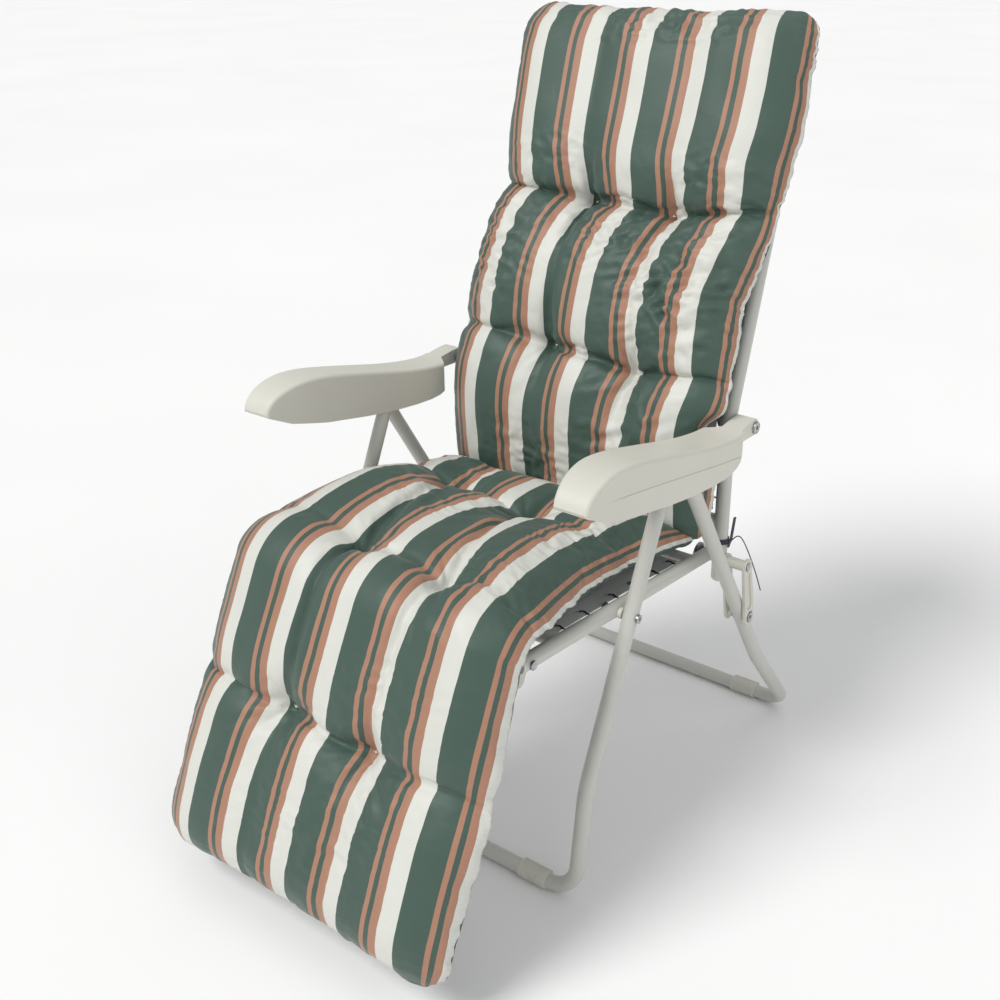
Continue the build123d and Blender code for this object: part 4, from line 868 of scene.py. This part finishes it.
back_rows = [
    {"tufts": [(-64.0, 53.0), (91.0, 39.0)], "ends": (62.0, 54.0), "mid": 0.34, "deep": 0.48, "pit": 0.28, "lam": 21.0, "lam_low": 30.0, "waist": 0.016, "hang": 7.0, "fold": 6.5},
    {"tufts": [(-72.0, 286.0), (78.0, 279.0)], "ends": (296.0, 304.0), "mid": 0.47, "deep": 0.60, "pit": 0.26, "lam": 18.0, "lam_low": 30.0, "waist": 0.030, "hang": 14.0, "fold": 8.5},
]


def back_height(X, V):
    h = np.interp(V, [-181, -127, -60, 50, 160, 280, 400, 500, 598], [46, 56, 63, 65, 70, 70, 74, 72, 62])
    return h * 1.06


pad_seat = Pad("cushion_seat_and_leg", SEAT_HALF, -478.0, 447.0, seat_rows, seat_height, lambda v: 0.16 - 0.12 * smooth(-40, 200, v), ends=(40.0, 66.0), corner=44.0)
pad_back = Pad("cushion_backrest", BACK_HALF, -181.0, 597.0, back_rows, back_height, lambda v: 0.17 + 0 * v, ends=(36.0, 66.0))
# middle x and v, reach each way, slant and depth of each crumpled patch, in millimetres
pad_back.slack = [(155, 165, 90, 95, 0.75, 6.0), (-185, 175, 55, 110, -0.6, 3.4), (0, 225, 110, 42, 0.9, 4.0), (120, -20, 90, 70, 0.5, 3.6), (-60, -100, 90, 50, -0.3, 3.0), (10, 560, 200, 34, 0.2, 3.4), (150, 320, 80, 40, 0.6, 3.4), (-130, 330, 70, 36, -0.5, 3.0)]
pad_seat.slack = [(190, -250, 70, 120, 0.8, 3.0), (90, 120, 90, 60, -0.4, 1.6), (20, 330, 150, 70, 0.3, 1.6), (-150, -390, 90, 50, 0.3, 2.4), (165, -50, 80, 70, 0.9, 2.6), (-60, -200, 90, 70, 0.5, 2.2), (90, 260, 60, 60, -0.6, 1.8)]
pad_seat.inflate()
pad_back.inflate()
for pad, mapped, seed in ((pad_seat, seat_map, 3), (pad_back, back_map, 23)):
    subdivided(pad.o)
    pad.fit()
    pad.wrinkle(seed)
    pad.thread_knots(seed)
    flat = get_co(pad.o) * 1000
    set_co(pad.o, mapped(flat))
    add_knots(pad, mapped)

def split_off(o, rear, name):
    """Moves the faces whose points are all marked into a new object, along a crease."""
    me = o.data
    names = ("across", "cloth_u", "cloth_v", "seam", "side", "flat_x")
    co, attrs = get_co(o), {k: get_attr(o, k) for k in names}
    faces = [tuple(q.vertices) for q in me.polygons]
    mats = [q.material_index for q in me.polygons]
    take = [all(rear[i] for i in f) for f in faces]
    out = []
    for want, label in ((True, name), (False, o.name)):
        f = [q for q, t in zip(faces, take) if t == want]
        m = [q for q, t in zip(mats, take) if t == want]
        used = np.unique(np.concatenate([np.array(q) for q in f]))
        index = np.full(len(co), -1)
        index[used] = np.arange(len(used))
        out.append((label, co[used], [tuple(int(index[i]) for i in q) for q in f], m, {k: attrs[k][used] for k in names}))
    label, verts, f, m, a = out[0]
    piece = new_object(label, verts, f, list(me.materials), m)
    for k in names:
        set_attr(piece, k, a[k])
    label, verts, f, m, a = out[1]
    new = bpy.data.meshes.new("kept")
    new.from_pydata([tuple(q) for q in verts], [], f)
    for q in me.materials:
        new.materials.append(q)
    new.polygons.foreach_set("material_index", np.asarray(m, np.int32))
    new.polygons.foreach_set("use_smooth", np.ones(len(new.polygons), bool))
    new.update()
    o.data = new
    bpy.data.meshes.remove(me)
    new.name = o.name
    for k in names:
        set_attr(o, k, a[k])
    return piece


cushion_a, cushion_b = pad_back.o, pad_seat.o
# the seat's rear section, behind its first row of tufts, which bends up with the back when the chair folds, is split
# off as an object of its own
row_x = get_attr(cushion_b, "flat_x")
row_co = get_co(cushion_b) * 1000
along_seat = (row_co[:, 1] - 1000 * YS - K[0]) * seat_back[0] + (row_co[:, 2] - K[1]) * seat_back[1]
cushion_c = split_off(cushion_b, -(31.0 + along_seat) < pad_seat.row_v(seat_rows[0], row_x), "cushion_seat_rear")
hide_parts("cushion_seat", "cushion_leg")
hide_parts("cushion_back")
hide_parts("cushion_seat")
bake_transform(cushion_b)
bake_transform(cushion_c)
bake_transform(cushion_a)


# ---------------------------------------------------------------- slings
def sling(name, node, body, edge, length, hooks, place, sag):
    """A taut grey sheet. edge(s) is its half width at s along it; hooks are the s of its hooks; between them the edge is drawn in."""
    ns, nx = int(length / 7) + 1, 48
    s = np.linspace(0, length, ns)
    w = np.array([edge(q) for q in s])
    scal = np.zeros(ns)
    hk = sorted(hooks)
    for a, b in zip(hk[:-1], hk[1:]):
        inside = (s > a) & (s < b)
        scal[inside] = np.sin((s[inside] - a) / (b - a) * np.pi) * min(2.4, (b - a) * 0.03)
    w = w - scal
    # graded across so the hem has its own rows
    e = np.array([0, 1.5, 4, 8, 12, 15, 16.5, 20])
    verts, seam, cu, cv = [], [], [], []
    cols = None
    for i, q in enumerate(s):
        full = w[i]
        xs = np.concatenate([-full + e, np.linspace(-full + 28, full - 28, nx), full - e[::-1]])
        cols = len(xs)
        d_end = min(q, length - q)
        for x in xs:
            d = min(full - abs(x), d_end)
            hem = 0.5 * (1 - smooth(13.5, 16.5, np.array(d)))
            down = sag * (1 - (x / full) ** 2) * math.sin(math.pi * q / length) ** 0.6
            ripple = 0.9 * math.exp(-(full - abs(x)) / 45.0) * math.sin(q / 11.0 + 2.0 * math.sin(q / 60.0))
            verts.append(place(x, q, -down + float(hem) + ripple))
            seam.append(d / 1000)
            cu.append(x / 1000)
            cv.append(q / 1000)
    faces = [(i * cols + j, i * cols + j + 1, (i + 1) * cols + j + 1, (i + 1) * cols + j)
             for i in range(ns - 1) for j in range(cols - 1)]
    o = new_object(name, verts, faces, [M_SLING])
    set_attr(o, "seam", seam)
    set_attr(o, "cloth_u", cu)
    set_attr(o, "cloth_v", cv)
    mod = o.modifiers.new("Thickness", "SOLIDIFY")
    mod.thickness = 0.0014
    mod.offset = 0.0
    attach(o, body)
    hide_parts(node)
    return o


def on_line(origin, d, n):
    def place(x, s, h):
        y, z = origin[0] + d[0] * s + n[0] * h, origin[1] + d[1] * s + n[1] * h
        return pt(x, y, z)
    return place


seat_fwd = -seat_back
seat_n = np.array([-seat_back[1], seat_back[0]])
seat_len = (330.0 - 16.0) / seat_back[0]


def seat_z(y):
    return 403.5 + (125.5 - y) * 24.0 / 263.0


SEAT_HOOK_Y = [28.0, 86.0, 158.0, 216.0, 268.0, 316.0]
sling_seat = sling(
    "seat_sling_cloth", "seat_sling", "seat", lambda s: 211.5, seat_len,
    [(y - 16.0) / seat_back[0] for y in SEAT_HOOK_Y],
    on_line((16.0, seat_z(16.0)), seat_back, seat_n), 7.0)

foot_n = np.array([foot_dir[1], -foot_dir[0]])
FOOT_A, FOOT_B = 78.0, 356.0


def foot_edge(s):
    left = FOOT_B - FOOT_A - s
    if left < 34.0:
        return 186.5 - 34.0 + math.sqrt(max(34.0 ** 2 - (34.0 - left) ** 2, 0)) * 1.0
    return 186.5


sling_foot = sling(
    "footrest_sling_cloth", "footrest_sling", "footrest", foot_edge, FOOT_B - FOOT_A,
    [t - FOOT_A for t in (96.0, 162.0, 228.0, 294.0)],
    on_line(K + foot_dir * FOOT_A, foot_dir, foot_n), 5.0)

low_part = float(np.hypot(*(P5 - P3))) - 78.0
back_len = float(np.hypot(*(BACK_TOP - P5)))
low_n, up_n = np.array([-b_low[1], b_low[0]]), np.array([-b_up[1], b_up[0]])


def back_place(x, s, h):
    r = 60.0
    cut = math.tan(BEND / 2) * r
    arc = BEND * r
    if s < low_part - cut:
        p = P3 + b_low * (78.0 + s)
        n = low_n
    elif s < low_part - cut + arc:
        a = (s - (low_part - cut)) / r
        centre = P5 - b_low * cut - low_n * r
        ang = math.atan2(low_n[1], low_n[0]) - a
        n = np.array([math.cos(ang), math.sin(ang)])
        p = centre + n * r
    else:
        p = P5 + b_up * (s - low_part - arc + cut)
        n = up_n
    return pt(x, p[0] + n[0] * h, p[1] + n[1] * h)


def back_edge(s):
    t = max(s - low_part, 0.0)
    return 234.0 - (250.5 - 210.5) * t / back_len


sling_back = sling(
    "back_sling_cloth", "back_sling", "backrest", back_edge, low_part + 520.0,
    [100.0 - 78.0, 168.0 - 78.0] + [low_part + t for t in (52.0, 132.0, 212.0, 292.0, 372.0, 446.0)],
    back_place, 8.0)


# ---------------------------------------------------------------- eyelets in the slings
def ring(c, n, r, wire, sides=20, tube=8):
    c, n = np.asarray(c, float), np.asarray(n, float) / np.linalg.norm(n)
    a = np.cross(n, (1.0, 0, 0))
    a /= np.linalg.norm(a)
    b = np.cross(n, a)
    verts, faces = [], []
    for i in range(sides):
        w = 2 * math.pi * i / sides
        rad = a * math.cos(w) + b * math.sin(w)
        for j in range(tube):
            q = 2 * math.pi * j / tube
            verts.append(c + rad * (r + wire * math.cos(q)) + n * wire * 0.75 * math.sin(q))
    for i in range(sides):
        for j in range(tube):
            i2, j2 = (i + 1) % sides, (j + 1) % tube
            faces.append((i * tube + j, i2 * tube + j, i2 * tube + j2, i * tube + j2))
    return verts, faces


def eyelets(name, body, spots):
    verts, faces = [], []
    for c, n in spots:
        v, f = ring(c, n, 0.0040, 0.0013)
        base = len(verts)
        verts += list(v)
        faces += [tuple(i + base for i in q) for q in f]
    o = new_object(name, verts, faces, [M_EYELET])
    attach(o, body)
    return o


def spots(x, p, n):
    return [(pt(s * x, *p), (0, n[0], n[1])) for s in (1, -1)]


eyelets("seat_sling_eyelets", "seat", [q for y in SEAT_HOOK_Y for q in spots(199.0, (y, seat_z(y)), seat_n)])
eyelets("footrest_sling_eyelets", "footrest", [q for t in (96.0, 162.0, 228.0, 294.0) for q in spots(174.0, K + foot_dir * t, foot_n)])
eyelets("back_sling_eyelets", "backrest",
        [q for t in (100.0, 168.0) for q in spots(221.5, P3 + b_low * t, low_n)]
        + [q for t in (52.0, 132.0, 212.0, 292.0, 372.0, 446.0)
           for q in spots(250.5 - 40.0 * t / back_len - 29.0, P5 + b_up * t, up_n)])


# ---------------------------------------------------------------- ribbons on the ties
RIBBON = [
    (266.4, 396, 412.5), (268.5, 404, 416.5), (270.5, 415, 412), (273, 425, 398),
    (275.5, 440, 372), (278, 455, 343), (280.5, 466, 318), (283, 474, 296),
]


def ribbon(name, node, side):
    cu = bpy.data.curves.new(name, "CURVE")
    cu.dimensions = "3D"
    cu.bevel_depth = 0.0009
    cu.bevel_resolution = 3
    cu.use_fill_caps = True
    sp = cu.splines.new("NURBS")
    sp.points.add(len(RIBBON) - 1)
    for q, p in zip(sp.points, RIBBON):
        x, y, z = pt(side * p[0], p[1], p[2])
        q.co = (x, y, z, 1.0)
    sp.order_u = 3
    sp.use_endpoint_u = True
    sp.resolution_u = 16
    cu.materials.append(M_RIBBON)
    o = bpy.data.objects.new(name, cu)
    scene.collection.objects.link(o)
    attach(o, "backrest")
    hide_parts(node)
    pt(side * RIBBON[0][0], *RIBBON[0][1:])
    return o


ribbon("ribbon_right", "tie_ribbon_right", 1)
ribbon("ribbon_left", "tie_ribbon_left", -1)


# ---------------------------------------------------------------- floor and light
def floor():
    s = Mat("studio_floor")
    o = s.coords()
    f = s.noise(o, 0.8, 3.0, 0.5)
    s.put(s.b.inputs["Base Color"], s.ramp(f, [(0.3, (0.93, 0.93, 0.93, 1)), (0.7, (0.96, 0.96, 0.96, 1))]))
    s.b.inputs["Roughness"].default_value = 0.75
    s.b.inputs["Specular IOR Level"].default_value = 0.2
    o = new_object("floor", [(-40, -40, 0), (40, -40, 0), (40, 40, 0), (-40, 40, 0)], [(0, 1, 2, 3)], [s.m])
    return o


floor()


def sun(name, come_from, strength, angle, colour=(1, 1, 1)):
    """A very soft, even light from one side, so that the pale floor stays even."""
    d = bpy.data.lights.new(name, "SUN")
    d.energy = strength
    d.angle = math.radians(angle)
    d.color = colour
    o = bpy.data.objects.new(name, d)
    scene.collection.objects.link(o)
    o.location = come_from
    o.rotation_euler = (-Vector(come_from)).to_track_quat("-Z", "Y").to_euler()
    return o


sun("key", (-0.9, -2.0, 2.7), 1.95, 26, (1.0, 0.995, 0.98))
sun("side", (2.6, -0.9, 1.5), 0.55, 50, (0.98, 0.99, 1.0))
sun("top", (0.2, 0.9, 3.0), 0.35, 60)
world = bpy.data.worlds.new("studio")
world.use_nodes = True
world.node_tree.nodes["Background"].inputs[0].default_value = (0.99, 0.995, 1.0, 1.0)
world.node_tree.nodes["Background"].inputs[1].default_value = 0.37
scene.world = world
